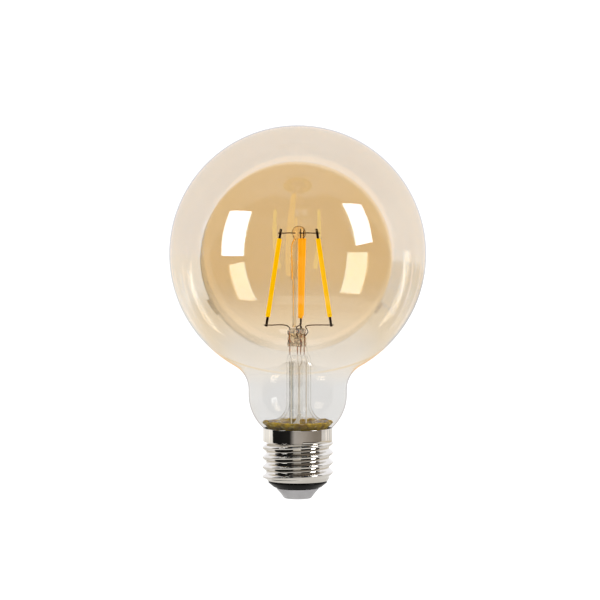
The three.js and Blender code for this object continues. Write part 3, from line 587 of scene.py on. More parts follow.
def wire(name, corners, steps, material, replaced):
    """A drawn wire along a smooth path, with rounded ends and a slightly uneven surface."""
    path = smooth_path(corners, steps)
    length = sum((b - a).length for a, b in zip(path, path[1:]))
    seed = sum(ord(c) for c in name)

    def outline(share):
        inset = max(0.0, WIRE_RADIUS - min(share, 1 - share) * length)
        rounded = math.sqrt(max(WIRE_RADIUS**2 - inset**2, (0.35 * WIRE_RADIUS) ** 2))
        wobble = 1 + 0.04 * noise.noise(Vector((share * length * 0.9, seed, 0)))
        return circle(rounded * wobble, 12)

    ends = [0.3 * WIRE_RADIUS / length, 0.7 * WIRE_RADIUS / length]
    shares = [0, *ends, *[i / steps for i in range(1, steps)], 1 - ends[1], 1 - ends[0], 1]
    placed = []
    for share in shares:
        at = share * steps
        k = min(int(at), steps - 1)
        placed.append(path[k].lerp(path[k + 1], at - k))
    rings = along_path(placed, [outline(share) for share in shares])
    make_piece(name, close_rings(rings), material, replaced, 50)


# ---- globe


def globe_line(inset):
    """The glass in section from the top of the globe down to the skirt, set in from its outside."""
    fillet_r = NECK_RADIUS + NECK_FILLET
    fillet_z = GLOBE_Z - math.sqrt((GLOBE_RADIUS + NECK_FILLET) ** 2 - fillet_r**2)
    leaves = math.degrees(math.atan2(fillet_z - GLOBE_Z, fillet_r))
    shoulder_r = NECK_RADIUS - SHOULDER_RADIUS
    ends = -math.degrees(math.acos((SHOULDER_END_RADIUS - shoulder_r) / SHOULDER_RADIUS))
    return [
        *arc(0, GLOBE_Z, GLOBE_RADIUS - inset, 90, 0, 48),
        *arc(0, GLOBE_Z, GLOBE_RADIUS - inset, 0, leaves, 34)[1:],
        *arc(fillet_r, fillet_z, NECK_FILLET + inset, leaves + 180, 180, 14)[1:],
        *arc(shoulder_r, SHOULDER_Z, SHOULDER_RADIUS - inset, 0, ends, 20),
        (SKIRT_RADIUS - inset, SKIRT_TOP),
        (SKIRT_RADIUS - inset, SKIRT_BOTTOM + 0.3),
        (SKIRT_RADIUS - inset + (0.15 if inset else -0.15), SKIRT_BOTTOM),
    ]


def build_globe():
    inner, outer = globe_line(GLASS_WALL), globe_line(0)[::-1]
    inner[0], outer[-1] = (0, inner[0][1]), (0, outer[-1][1])
    segments = 160
    shape = lathe([*inner, *outer], segments)
    inside = [int(i < (len(inner) - 1) * segments) for i in range(len(shape[1]))]
    make_piece("globe", shape, GLOBE_GLASS, "glass_globe", 60, INNER_GLASS, inside)


# ---- cap


def smoothstep(x, low, high):
    t = min(max((x - low) / (high - low), 0), 1)
    return t * t * (3 - 2 * t)


def mix(a, b, share):
    return a + (b - a) * share


def shell_radius(angle, z):
    """The screw shell's outer radius: a right-hand rounded thread between an end cone and a collar."""
    phase = 2 * math.pi * ((z - THREAD_CREST_Z) / THREAD_PITCH) - angle
    mean = (THREAD_RADIUS + THREAD_ROOT_RADIUS) / 2
    half = (THREAD_RADIUS - THREAD_ROOT_RADIUS) / 2
    depth = smoothstep(z, SHELL_BOTTOM, THREAD_START_Z)
    threaded = mix(SHELL_END_RADIUS, mean, depth) + depth * half * math.cos(phase)
    return mix(threaded, COLLAR_RADIUS, smoothstep(z, COLLAR_BOTTOM - COLLAR_STEP, COLLAR_BOTTOM))


def build_shell():
    top = COLLAR_BOTTOM - COLLAR_STEP
    heights = list(np.linspace(SHELL_BOTTOM, top, 92)) + list(np.linspace(top, COLLAR_BOTTOM, 6))[1:]
    heights += [COLLAR_BOTTOM + 0.8, COLLAR_BOTTOM + 2, SHELL_TOP - 0.6, SHELL_TOP]
    outer = [(THREAD_RADIUS, z) for z in heights]
    lip = SHELL_WALL / 2
    outer += arc(THREAD_RADIUS - lip, SHELL_TOP + 0.05, lip, 0, 180, 8)
    inner = [(THREAD_RADIUS - SHELL_WALL, z) for z in heights][::-1]

    def moved(angle, point):
        r, z = point
        return r - THREAD_RADIUS + shell_radius(angle, z), z

    shape = lathe([*outer, *inner], 240, closed=True, moved=moved)
    make_piece("cap_shell", shape, NICKEL, "screw_shell", 50)


def build_insulator():
    profile = [
        (INSULATOR_BORE, CONTACT_TOP + 0.3),
        *arc(INSULATOR_FOOT_RADIUS - 0.25, CONTACT_TOP + 0.55, 0.25, -90, -43, 4),
        *arc(SHELL_END_RADIUS - 0.6, SHELL_BOTTOM - 0.6, 0.3, -43, 90, 8),
        (INSULATOR_WALL_RADIUS, SHELL_BOTTOM - 0.3),
        (INSULATOR_WALL_RADIUS, INSULATOR_TOP),
        (INSULATOR_WALL_RADIUS - 1.2, INSULATOR_TOP),
        (INSULATOR_FLOOR_RADIUS, INSULATOR_FLOOR_Z),
        (INSULATOR_BORE, INSULATOR_FLOOR_Z),
    ]
    shape = lathe(profile, 128, closed=True)
    make_piece("cap_insulator", shape, INSULATOR, "insulator", 40)


def build_contact():
    profile = [
        (0, 0),
        (CONTACT_FACE_RADIUS - 1.5, 0),
        *arc(CONTACT_FACE_RADIUS, CONTACT_EDGE, CONTACT_EDGE, -90, -38, 8),
        CONTACT_FLANK,
        *arc(CONTACT_RADIUS - 0.2, CONTACT_TOP - 0.2, 0.2, -38, 90, 6),
        (RIVET_RADIUS, CONTACT_TOP),
        (RIVET_RADIUS, RIVET_HEAD_Z),
        (RIVET_HEAD_RADIUS, RIVET_HEAD_Z),
        *arc(RIVET_HEAD_RADIUS - 0.45, RIVET_HEAD_Z + 0.05, 0.4, 0, 90, 4),
        (0, RIVET_HEAD_Z + 0.45),
    ]
    make_piece("cap_contact", lathe(profile, 128), CONTACT, "centre_contact", 40)


def build_cement():
    """The uneven ring under the flare, seen through the neck."""
    flare_z = FLARE_RIM_Z + FLARE_RIM_RADIUS - STEM_RADIUS
    under_flare = FLARE_RIM_RADIUS - STEM_RADIUS + STEM_WALL + 0.55
    neck_r = NECK_RADIUS - SHOULDER_RADIUS
    along_neck = SHOULDER_RADIUS - GLASS_WALL - CEMENT_GAP
    rim = FLARE_RIM_RADIUS + 0.8
    profile = [
        (CEMENT_BORE, CEMENT_BOTTOM),
        (12.0, CEMENT_BOTTOM),
        (12.0, 21.95),
        (10.75, 22.05),
        (10.8, 24.0),
        (10.85, 25.9),
        *arc(neck_r, SHOULDER_Z, along_neck, -47.5, -41.0, 5),
        (12.55, 28.55),
        (12.1, 28.6),
        (rim, 28.3),
        (rim, 27.5),
        *arc(FLARE_RIM_RADIUS, flare_z, under_flare, -92, -115.2, 8),
        (CEMENT_BORE, 26.5),
        (CEMENT_BORE, 24.5),
    ]
    fine = []
    for (r0, z0), (r1, z1) in zip(profile, profile[1:] + profile[:1]):
        steps = max(1, round(math.hypot(r1 - r0, z1 - z0) / CEMENT_STEP))
        fine += [(mix(r0, r1, i / steps), mix(z0, z1, i / steps)) for i in range(steps)]

    def moved(angle, point):
        r, z = point
        at = Vector((r * math.cos(angle), r * math.sin(angle), z))
        lump = noise.noise(at * 0.7) * 0.17 + noise.noise(at * 1.9) * 0.09
        rise = 0.5 * noise.noise(at * 0.45) * smoothstep(z, 26.5, 28)
        return r + lump, z + (lump + rise if z > 22.2 else 0)

    shape = lathe(fine, 160, closed=True, moved=moved)
    make_piece("cement_ring", shape, CEMENT, "base_cement", 60)


# ---- stem

# Where the leads pass the press, across it from the stem's axis.
LEAD_HOLES = {"left": -3.3, "front": -0.5, "back": 0.7, "right": 2.0}
BLOB_ANGLE, BLOB_Z = 4.05, 61.6  # a drop of glass that was left on the press


def above(shape, z):
    """For each face of a shape, 1 if it lies above a height, else 0."""
    points, faces = shape
    return [int(min(points[i][2] for i in face) > z) for face in faces]


def build_stem():
    """Flare, tube and flattened press as one piece of glass, lumpy where it was pinched."""
    curve = FLARE_RIM_RADIUS - STEM_RADIUS
    curve_z = FLARE_RIM_Z + curve
    bore = STEM_RADIUS - STEM_WALL
    before = 3.5  # the radius that the press was pinched from
    profile = [
        (0, STEM_CAVITY_TOP),
        (bore - 1.2, STEM_CAVITY_TOP - 0.05),
        (bore - 0.4, STEM_CAVITY_TOP - 0.4),
        (bore, STEM_SHOULDER_Z - 0.5),
        *[(bore, z) for z in np.linspace(49, 38, 8)],
        *arc(FLARE_RIM_RADIUS, curve_z, curve + STEM_WALL, 180, 270, 20),
        *arc(FLARE_RIM_RADIUS, curve_z - curve - STEM_WALL / 2, STEM_WALL / 2, -90, 90, 6)[1:-1],
        *arc(FLARE_RIM_RADIUS, curve_z, curve, 270, 180, 20),
        *[(STEM_RADIUS, z) for z in np.linspace(38, 49, 8)],
        (STEM_RADIUS, STEM_SHOULDER_Z - 0.6),
        (STEM_RADIUS - 0.1, STEM_SHOULDER_Z),
        (STEM_RADIUS - 0.5, STEM_SHOULDER_Z + 1.4),
        (3.75, STEM_SHOULDER_Z + 2.8),
        *[(before, z) for z in np.linspace(56.2, PRESS_TOP - 1, 12)],
        (3.3, PRESS_TOP - 0.4),
        (2.6, PRESS_TOP - 0.05),
        (0, PRESS_TOP),
    ]

    def moved(angle, point):
        r, z = point
        if z < STEM_CAVITY_TOP + 0.01 or r < bore - 0.3 and z < 54:
            return r, z
        flat = smoothstep(z, STEM_SHOULDER_Z, PRESS_BOTTOM + 0.6)
        below_top = z < PRESS_TOP - 0.9
        across = mix(r, PRESS_HALF_WIDTH, flat) if below_top else r * PRESS_HALF_WIDTH / before
        deep = mix(r, PRESS_HALF_DEPTH, flat) if below_top else r * PRESS_HALF_DEPTH / before
        x, y = math.cos(angle), math.sin(angle)
        squarish = 1 / (abs(x / across) ** 3 + abs(y / deep) ** 3) ** (1 / 3)
        plain = 1 / math.sqrt((x / across) ** 2 + (y / deep) ** 2)
        lumps = flat * (
            0.75 * noise.noise(Vector((x * 1.9, y * 1.9, z * 0.62)))
            + 0.4 * noise.noise(Vector((x * 3.1, y * 3.1, z * 1.3)))
        )
        off_blob = ((angle - BLOB_ANGLE) / 0.42) ** 2 + ((z - BLOB_Z) / 1.25) ** 2
        blob = flat * 0.75 * math.exp(-off_blob)
        rise = flat * 0.2 * noise.noise(Vector((x * 2, y * 2, z)))
        return mix(plain, squarish, flat) + lumps + blob, z + rise

    def aside(z):
        return STEM_X + PRESS_X * smoothstep(z, STEM_SHOULDER_Z + 1.2, PRESS_BOTTOM + 0.6)

    points, faces = lathe(profile, 96, moved=moved)
    shape = [(x + aside(z), y, z) for x, y, z in points], faces
    press = above(shape, PRESS_BOTTOM - 0.3)
    make_piece("stem_glass", shape, STEM_GLASS, "stem", 60, PRESS_GLASS, press)


def build_exhaust_tube():
    """A tube inside the stem, melted shut at its lower end and open at its top."""
    wall = (TUBE_RADIUS - TUBE_BORE) / 2
    profile = [
        (0, 21.8),
        (0.5, 22.0),
        (0.95, 22.5),
        (1.3, 23.2),
        (TUBE_RADIUS, 24.2),
        *[(TUBE_RADIUS, z) for z in np.linspace(25, TUBE_TOP - 0.2, 14)],
        *arc(TUBE_BORE + wall, TUBE_TOP, wall, 30, 150, 4),
        *[(TUBE_BORE, z) for z in np.linspace(TUBE_TOP - 0.2, 25, 14)],
        (0.6, 24.4),
        (0, 24.0),
    ]
    points, faces = lathe(profile, 48)
    shape = [(x + STEM_X, y, z) for x, y, z in points], faces
    make_piece("exhaust_glass", shape, STEM_GLASS, "exhaust_tube", 60)


NIBS = [(-0.8, -1.5, 100.1), (1.8, -1.3, 99.7)]  # where the wires pulled the soft button out


def build_support_rod():
    """A glass rod beside the stem's axis, and the melted button on top of it."""
    step = ROD_UPPER_RADIUS - ROD_RADIUS
    profile = [
        (0, PRESS_TOP + 0.3),
        (ROD_RADIUS - 0.2, PRESS_TOP + 0.32),
        (ROD_RADIUS, PRESS_TOP + 0.5),
        *[(ROD_RADIUS, z) for z in np.linspace(64.5, 79.5, 12)],
        *arc(ROD_RADIUS, ROD_STEP_Z + step, step, 270, 360, 8),
        *[(ROD_UPPER_RADIUS, z) for z in np.linspace(82.5, 95.0, 10)],
        *arc(0, BUTTON_Z, BUTTON_RADIUS, -52, 88, 26),
        (0, BUTTON_Z + BUTTON_RADIUS),
    ]

    def moved(angle, point):
        r, z = point
        button = smoothstep(z, 95.5, 97.5)
        at = Vector((math.cos(angle), math.sin(angle), z * 0.6))
        surface = Vector((r * math.cos(angle), r * math.sin(angle), z))
        nib = button * sum(0.5 * math.exp(-(((surface - Vector(n)).length / 0.5) ** 2)) for n in NIBS)
        grown = 1 + 0.12 * button * noise.noise(at * 1.7) + 0.02 * noise.noise(at * 0.9)
        return r * grown + nib * 0.7, z + nib * 0.7

    def aside(z):
        return STEM_X + mix(ROD_X, 0, smoothstep(z, 94.0, 96.8))

    points, faces = lathe(profile, 64, moved=moved)
    shape = [(x + aside(z), y, z) for x, y, z in points], faces
    button = above(shape, BUTTON_Z - BUTTON_RADIUS)
    name, slot = "support_rod_glass", "stem_glass"
    make_piece(name, shape, ROD_GLASS, "support_rod", 60, BUTTON_GLASS, button)


# ---- filaments

FILAMENTS = {  # azimuths of the upper and the lower end, in degrees
    "left": {"upper": 180, "lower": 180, "material": YELLOW, "slot": "yellow_phosphor"},
    "right": {"upper": 0, "lower": 0, "material": YELLOW, "slot": "yellow_phosphor"},
    "front": {"upper": -85, "lower": -87, "material": ORANGE, "slot": "orange_phosphor"},
    "back": {"upper": 75, "lower": 85, "material": ORANGE, "slot": "orange_phosphor"},
}


def polar(radius, degrees, z):
    """A point around the stem's axis."""
    angle = math.radians(degrees)
    return Vector((radius * math.cos(angle) + STEM_X, radius * math.sin(angle), z))


def filament_axes(spec):
    """Middle, length and own axes of a filament: outward, across and along."""
    top = polar(COAT_TOP[0], spec["upper"], COAT_TOP[1])
    bottom = polar(COAT_BOTTOM[0], spec["lower"], COAT_BOTTOM[1])
    along = (top - bottom).normalized()
    middle = (top + bottom) / 2
    outward = Vector((middle.x - STEM_X, middle.y, 0))
    outward = (outward - along * outward.dot(along)).normalized()
    return middle, (top - bottom).length, outward, along.cross(outward), along


def rounded_outline(width, height, corner, steps):
    """A rounded rectangle as (x, y) points, anticlockwise."""
    found = []
    for sx, sy, start in ((1, 1, 0), (-1, 1, 90), (-1, -1, 180), (1, -1, 270)):
        cx, cy = sx * (width / 2 - corner), sy * (height / 2 - corner)
        for i in range(steps + 1):
            angle = math.radians(start + 90 * i / steps)
            found.append((cx + corner * math.cos(angle), cy + corner * math.sin(angle)))
    return found


def build_coat(side, spec):
    """A filament's phosphor: a slightly uneven bar around the strip that carries the chips."""
    middle, length, outward, across, along = filament_axes(spec)
    seed = 10 * len(side)
    outline = rounded_outline(COAT_WIDTH, COAT_WIDTH, COAT_CORNER, 6)
    bore = rounded_outline(STRIP_WIDTH + 2 * WIRE_GAP, STRIP_THICKNESS + 2 * WIRE_GAP, 0.08, 6)
    steps = 72
    outer, inner = [], []
    shares = [0, 0.004, 0.012, *[i / steps for i in range(1, steps)], 0.988, 0.996, 1]
    for share in shares:
        end = min(share, 1 - share) * length
        shrink = 1 - 0.16 * max(0, 1 - end / 0.35) ** 2
        centre = middle + along * (share - 0.5) * length
        ring = []
        for x, y in outline:
            bumpy = 1 + 0.022 * noise.noise(Vector((x * 0.7, y * 0.7, share * length * 0.35 + seed)))
            ring.append(centre + (outward * x + across * y) * shrink * bumpy)
        outer.append(ring)
        inner.append([centre + outward * x + across * y for x, y in bore])
    shape = close_loop([*outer, *reversed(inner)])
    name, replaced = f"filament_{side}_phosphor", f"filament_{side}_coat"
    make_piece(name, shape, spec["material"], replaced, 50)


def plate_with_hole(outline, hole, hole_radius, thickness):
    """A flat plate in its own (x, y), with one round hole, as points (x, y, z) and faces."""
    angles = [math.atan2(y - hole[1], x - hole[0]) for x, y in outline]
    rim = [(hole[0] + hole_radius * math.cos(a), hole[1] + hole_radius * math.sin(a)) for a in angles]
    half, edge = thickness / 2, 0.05
    rings = []
    for z, inset in ((-half, edge), (-half + edge, 0), (half - edge, 0), (half, edge)):
        shrunk = [1 - inset / math.hypot(x, y) for x, y in outline]
        rings.append([(x * k, y * k, z) for (x, y), k in zip(outline, shrunk)])
    for z in (half, -half):
        rings.append([(x, y, z) for x, y in rim])
    return close_loop(rings)


def build_tab(side, spec, end):
    """One welding tab: a thin strip with an eyelet near its free end, bent a little."""
    middle, length, outward, across, along = filament_axes(spec)
    direction = 1 if end == "upper" else -1
    reach = TAB_REACH + TAB_HELD
    outline = rounded_outline(STRIP_WIDTH, reach, 0.12, 5)
    flat, faces = plate_with_hole(outline, (0, reach / 2 - 0.7), TAB_HOLE_RADIUS, STRIP_THICKNESS)
    start = middle + along * direction * (length / 2 - TAB_HELD)
    points = []
    for x, y, z in flat:
        away = y + reach / 2
        bend = 0.05 * math.sin(away * 0.9 + len(side)) * smoothstep(away, 0.7, 2)
        points.append(start + along * direction * away + outward * x * direction + across * (z + bend))
    name, replaced = f"filament_{side}_{end}_lead", f"filament_{side}_{end}_tab"
    make_piece(name, (points, faces), TAB, replaced, 35)


def wire_crossing(spec, z):
    """Where a radial wire at a height meets a filament's tab, and the direction away from the stem."""
    middle, _, _, across, along = filament_axes(spec)
    centre = middle + along * ((z - middle.z) / along.z)
    away = Vector((centre.x - STEM_X, centre.y, 0)).normalized()
    return centre + across * (STRIP_THICKNESS / 2 + WIRE_RADIUS + 0.02), away


def radial(away, radius, z):
    """A point at a distance from the stem's axis in a level direction."""
    return Vector((STEM_X + away.x * radius, away.y * radius, z))


LEAD_ENDS = {  # the last bends of the inner leads before the press, from each lead's hole
    "left": [(-0.6, 0, 63.7), (0, 0, 62.9), (0, 0, 62.2)],
    "right": [
        (1.3, -0.2, 64.0), (0.5, -0.4, 63.6), (1.1, -0.6, 62.5),
        (1.4, -0.5, 61.6), (0.7, -0.3, 60.7), (0.2, 0, 60.0),
    ],
    "front": [
        (0.2, -2.2, 63.9), (-0.5, -1.7, 63.2), (0.5, -1.75, 62.1),
        (-0.4, -1.6, 60.9), (0.2, -1.2, 59.9), (0, -0.4, 59.2),
    ],
    "back": [(-0.2, 1.6, 63.9), (0.4, 0.6, 63.3), (0, 0, 62.7), (0, 0, 62.2)],
}
DUMET_HEIGHTS = (61.9, 59, 56, 53.2)


def build_wires(side, spec):
    """A filament's support wire, its inner lead and the section of it inside the press."""
    tab, away = wire_crossing(spec, UPPER_WIRE_Z)
    corners = [
        radial(away, 1.2, UPPER_WIRE_Z),
        radial(away, 3.4, UPPER_WIRE_Z + 0.08),
        tab - away * 1.4,
        tab + away * 1.0,
    ]
    wire(f"support_wire_{side}", corners, 24, WIRE, f"upper_wire_{side}")

    tab, away = wire_crossing(spec, LOWER_WIRE_Z)
    hole = Vector((STEM_X + LEAD_HOLES[side], 0, 0))
    corners = [
        tab + away * 1.0,
        tab - away * 1.5,
        radial(away, 5.3, LOWER_WIRE_Z),
        *[hole + Vector(end) for end in LEAD_ENDS[side]],
    ]
    wire(f"lead_{side}", corners, 40, WIRE, f"inner_lead_{side}")
    corners = [hole + Vector((0, 0, z)) for z in DUMET_HEIGHTS]
    wire(f"dumet_lead_{side}", corners, 12, DUMET, f"dumet_{side}")


OUTER_LEADS = {  # from the press to the driver board, with x from the stem's axis
    "left": [
        (-3.3, 0, 52.9), (-2.75, 0, 51.4), (-2.75, 0, 49.5), (-2.75, 0, 27), (-2.75, 0, 25.4),
        (-3.8, -0.6, 22.8), (-4.5, -0.9, 21), (-4.5, -0.9, 19.4),
    ],
    "front": [
        (-0.5, 0, 52.9), (-0.3, -1.9, 50.8), (0.3, -2.7, 47.5), (0.3, -2.75, 45), (0.3, -2.75, 33.5),
        (0.3, -2.75, 31.2), (-0.5, -2.85, 28.8), (-2.2, -2.7, 26.8), (-3, -2.2, 25),
        (-2.2, -1.3, 22.6), (-1.5, -0.9, 21), (-1.5, -0.9, 19.4),
    ],
    "back": [
        (0.7, 0, 52.9), (1.2, 1.9, 50.8), (0, 2.7, 47.5), (0, 2.75, 45), (0, 2.75, 28),
        (0.6, 2.2, 25), (1.2, 1.3, 22.4), (1.5, 0.9, 21), (1.5, 0.9, 19.4),
    ],
    "right": [
        (2, 0, 52.9), (2.75, 0, 51.4), (2.75, 0, 49.5), (2.75, 0, 27), (2.75, 0, 25.4),
        (3.8, -0.6, 22.8), (4.5, -0.9, 21), (4.5, -0.9, 19.4),
    ],
}
SLEEVES = {  # the shares of the lead where a sleeve starts and ends
    "left": (0.08, 0.78, SLEEVE),
    "front": (0.62, 0.84, WHITE_SLEEVE),
}


def build_outer_leads():
    """The leads below the press, two of them with a sleeve."""
    for side, corners in OUTER_LEADS.items():
        corners = [(x + STEM_X, y, z) for x, y, z in corners]
        wire(f"tail_lead_{side}", corners, 70, TINNED, f"outer_lead_{side}")
        if side in SLEEVES:
            start, end, material = SLEEVES[side]
            path = smooth_path(corners, 200)[round(200 * start) : round(200 * end) + 1]
            outer = along_path(path, [circle(SLEEVE_RADIUS, 16)] * len(path))
            inner = along_path(path, [circle(SLEEVE_BORE, 16)] * len(path))
            shape = close_loop([*outer, *reversed(inner)])
            name = f"insulating_sleeve_{side}"
            make_piece(name, shape, material, f"sleeve_{side}", 50)


# ---- the lamp

build_globe()
build_shell()
build_insulator()
build_contact()
build_cement()
build_stem()
build_exhaust_tube()
build_support_rod()
for side, spec in FILAMENTS.items():
    build_coat(side, spec)
    build_tab(side, spec, "upper")
    build_tab(side, spec, "lower")
    build_wires(side, spec)
build_outer_leads()

CAD_MATERIALS = {
    "driver_board": BOARD_GREEN,
    "radio_board": BOARD_BLUE,
    "radio_shield": TIN,
    "radio_antenna": COPPER,
    "radio_header": MOULDING,
    "driver_chip": MOULDING,
    "yellow_channel_transistor": MOULDING,
    "orange_channel_transistor": MOULDING,
    "bridge_rectifier": MOULDING,
    "electrolytic_capacitor": CAN_SLEEVE,
    "inductor": FERRITE,
    "varistor": VARISTOR,
    "fuse_resistor": RESISTOR,
    "contact_wire": RED_WIRE,
    "shell_wire": COPPER,
    "shell_solder": SOLDER,
}
for side in FILAMENTS:
    CAD_MATERIALS[f"filament_{side}_strip"] = STRIP
for name, material in CAD_MATERIALS.items():
    for material_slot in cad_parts[name].material_slots:
        material_slot.material = material

# ---- floor, light and camera

# All in metres. The camera sees white all around. What mirrors or bends the view sees a studio: a
# bright tent behind the lamp, a dark room in front of it, and a table that the light falls across.
BACKDROP = 1.21  # brightness of the white that the camera sees
TENT = 1.07  # brightness of the tent

CAMERA_HEIGHT = 0.105
CAMERA_DISTANCE = 0.9
PIXELS_PER_METRE = 2703.0
IMAGE_SIZE = 600
SENSOR_WIDTH = 36
AIM = Vector((0.00085, 0, 0.07347))

FLOOR_HALF = 4.0
FLOOR_Z = -0.0002
SHAFTS = [  # light that falls across the table: azimuth and half width in quarter turns, strength
    (0.20, 0.035, 0.8),
    (0.36, 0.03, 0.6),
    (0.61, 0.05, 0.45),
]
SHAFT_COLOUR = (1.6, 1.5, 1.36, 1)
FRONT_COLOURS = ((0.01, 0.01, 0.011, 1), (0.12, 0.10, 0.085, 1))  # the dark table, left to right
SIDE_COLOURS = ((1.08, 1.07, 1.05, 1), (0.76, 0.73, 0.70, 1))  # the lit table, left to right
CLOSE_COLOURS = ((0.78, 0.76, 0.73, 1), (0.72, 0.63, 0.50, 1))  # around the cap, outwards

LEFT_SOFTBOX = [
    (-1.02, -0.34, 0.751), (-0.782, -0.716, 0.825), (-0.955, -0.866, 0.069), (-1.196, -0.442, 0.071),
]
RIGHT_SOFTBOX = [
    (0.735, -0.614, 0.939), (0.943, -0.323, 0.828), (1.157, -0.439, 0.282), (1.001, -0.769, 0.247),
]
SOFTBOX_RADIANCE = 8

FAR, NEAR = 0.12, 0.05  # how far the cards stand from the lamp's axis
CARDS = [  # name, distance, start and end angle, bottom, top, colour at the start and at the end
    ("card_left", FAR, -76, -26, 0.0, 0.085, (0.010, 0.010, 0.010), (0.016, 0.015, 0.014)),
    ("card_left_end", FAR, -86, -76, 0.0, 0.03, (0.012, 0.012, 0.012), (0.010, 0.010, 0.010)),
    ("card_turn", FAR, -26, -8, 0.0, 0.022, (0.016, 0.015, 0.014), (0.46, 0.43, 0.40)),
    ("card_middle", FAR, -8, 20, 0.0, 0.022, (0.46, 0.43, 0.40), (0.42, 0.38, 0.34)),
    ("card_bright", NEAR, -16, 10, 0.024, 0.038, (1.0, 0.97, 0.92), (1.3, 1.26, 1.2)),
    ("card_right", FAR, 20, 82, 0.0, 0.022, (0.42, 0.38, 0.34), (0.27, 0.23, 0.19)),
    ("card_right_end", FAR, 82, 108, 0.0165, 0.0225, (0.62, 0.59, 0.57), (0.84, 0.82, 0.80)),
]
CARD_STEPS = 24


def stage_piece(name, points, faces):
    """A mesh of the studio, with a material of its own that is still to be filled."""
    mesh = bpy.data.meshes.new(name)
    mesh.from_pydata(points, [], faces)
    piece = bpy.data.objects.new(name, mesh)
    bpy.context.scene.collection.objects.link(piece)
    made = Material(name)
    mesh.materials.append(made.material)
    return piece, made


def light_shafts(made, x, y, radius):
    """How much of the light shafts at a point of the table."""
    azimuth = made.math("ARCTAN2", y, made.math("ABSOLUTE", x))
    shafts = made.node("ValToRGB", {0: made.math("DIVIDE", azimuth, math.pi / 2)})
    elements = shafts.color_ramp.elements
    for element in list(elements)[1:]:
        elements.remove(element)
    elements[0].color = (0, 0, 0, 1)
    for centre, half, strength in SHAFTS:
        for place, level in ((centre - half, 0), (centre, strength), (centre + half, 0)):
            elements.new(place).color = (level, level, level, 1)
    return made.math("MULTIPLY", shafts.outputs[0], made.spread(radius, 0.12, 0.2))


def build_floor():
    """A pale floor. The camera sees it white, and what mirrors it sees a table in a studio."""
    h = FLOOR_HALF
    floor, made = stage_piece("floor", [(-h, -h, 0), (h, -h, 0), (h, h, 0), (-h, h, 0)], [(0, 1, 2, 3)])
    floor.location.z = FLOOR_Z
    x, y, _ = made.split(made.place)
    squares = made.math("ADD", made.math("MULTIPLY", x, x), made.math("MULTIPLY", y, y))
    radius = made.math("SQRT", squares)

    near = made.spread(radius, 0.055, 0.035, smooth=True)
    edge = made.math("MULTIPLY_ADD", radius, 0.0625, -0.028)
    edge = made.math("MULTIPLY_ADD", x, -0.0475, edge)
    behind = made.spread(made.math("SUBTRACT", y, edge), -0.005, 0.005, smooth=True)
    lit = made.math("MAXIMUM", near, behind)

    front = made.blend(made.spread(x, -0.03, 0.03), *FRONT_COLOURS)
    sides = made.blend(made.spread(x, -0.2, 0.2), *SIDE_COLOURS)
    sides = made.blend(light_shafts(made, x, y, radius), sides, SHAFT_COLOUR)
    close = made.blend(made.spread(radius, 0.06, 0.10), *CLOSE_COLOURS)
    pale = made.blend(made.spread(radius, 0.13, 0.26), close, sides)
    pale = made.blend(made.spread(radius, 0.8, 1.6), pale, (TENT, TENT, TENT, 1))
    mirrored = made.glow(made.blend(lit, front, pale))

    shaded = made.node("BsdfDiffuse", {"Color": (0.9, 0.9, 0.9, 1)}).outputs[0]
    shade = made.spread(radius, 0.15, 0.7, 0.08, 0.0, smooth=True)
    seen = made.mix_shaders(shade, made.glow(WHITE, BACKDROP), shaded)
    made.surface(made.camera_sees(seen, mirrored))


def build_world():
    """White for the camera. Around the lamp: a bright tent behind it and a dark room in front."""
    world = bpy.data.worlds.new("studio")
    bpy.context.scene.world = world
    world.use_nodes = True
    made = Nodes(world.node_tree)
    x, y, z = made.split(made.node("TexCoord", {}).outputs["Generated"])
    edge = made.math("MULTIPLY_ADD", z, -0.095, 0.055)
    edge = made.math("MULTIPLY_ADD", x, -0.049, edge)
    room = made.spread(made.math("SUBTRACT", y, edge), -0.009, 0.009, 0.01, TENT)
    room = made.glow((1, 1, 1.04, 1), room, "Background")
    white = made.glow(WHITE, BACKDROP, "Background")
    made.node("OutputWorld", {0: made.camera_sees(white, room)})
    world.cycles.sampling_method = "MANUAL"
    world.cycles.sample_map_resolution = 512


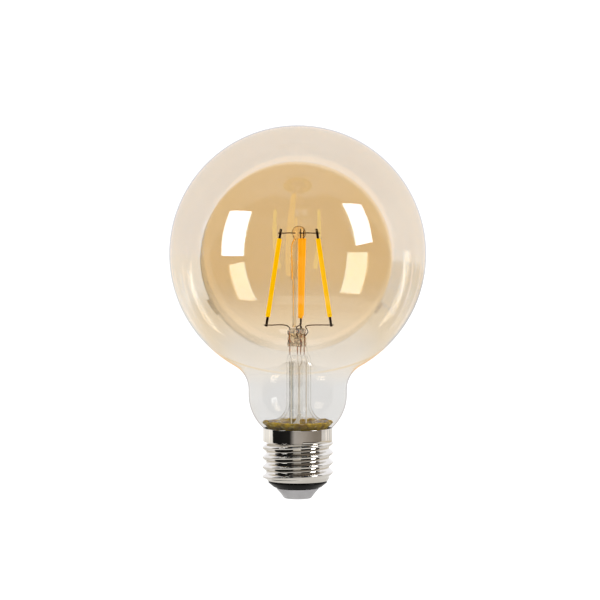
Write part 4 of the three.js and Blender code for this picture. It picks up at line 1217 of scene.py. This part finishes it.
def build_softbox(name, corners):
    """A glowing panel at the camera's side of the lamp, given by its corners."""
    panel, made = stage_piece(name, corners, [(0, 1, 2, 3)])
    low, high = 0.96 * SOFTBOX_RADIANCE, 1.04 * SOFTBOX_RADIANCE
    made.surface(made.glow(WHITE, made.patches(1.5, to_low=low, to_high=high, detail=1)))
    panel.visible_camera = False


def build_card(name, distance, start, end, bottom, top, first, last):
    """A low curved card around the cap, that only mirrors see, shaded from one end to the other.
    Angles are in degrees from the camera's side, to the right."""
    points = []
    for i in range(CARD_STEPS + 1):
        angle = math.radians(start + (end - start) * i / CARD_STEPS)
        x, y = distance * math.sin(angle), -distance * math.cos(angle)
        points += [(x, y, bottom), (x, y, top)]
    faces = [(2 * i, 2 * i + 2, 2 * i + 3, 2 * i + 1) for i in range(CARD_STEPS)]
    panel, made = stage_piece(name, points, faces)
    share = made.spread(made.split(made.place)[0], points[0][0], points[-1][0])
    uneven = made.patches(30, to_low=-0.15, to_high=0.15, detail=2)
    share = made.math("ADD", share, uneven, clamp=True)
    made.surface(made.glow(made.blend(share, (*first, 1), (*last, 1))))
    panel.visible_camera = False


def build_camera():
    data = bpy.data.cameras.new("camera")
    data.sensor_width = SENSOR_WIDTH
    data.lens = SENSOR_WIDTH * CAMERA_DISTANCE * PIXELS_PER_METRE / IMAGE_SIZE
    data.clip_start, data.clip_end = 0.01, 30
    camera = bpy.data.objects.new("camera", data)
    rise = math.asin((CAMERA_HEIGHT - AIM.z) / CAMERA_DISTANCE)
    away = Vector((0, -math.cos(rise), math.sin(rise)))
    camera.location = AIM + away * CAMERA_DISTANCE
    camera.rotation_euler = away.to_track_quat("Z", "Y").to_euler()
    bpy.context.scene.collection.objects.link(camera)
    bpy.context.scene.camera = camera


build_floor()
build_world()
build_softbox("softbox_left", LEFT_SOFTBOX)
build_softbox("softbox_right", RIGHT_SOFTBOX)
for spec in CARDS:
    build_card(*spec)
build_camera()

scene = bpy.context.scene
scene.view_settings.view_transform = "Standard"
scene.cycles.transparent_max_bounces = 48
scene.cycles.max_bounces = 16
scene.cycles.transmission_bounces = 16
scene.cycles.glossy_bounces = 6
scene.cycles.sample_clamp_indirect = 6
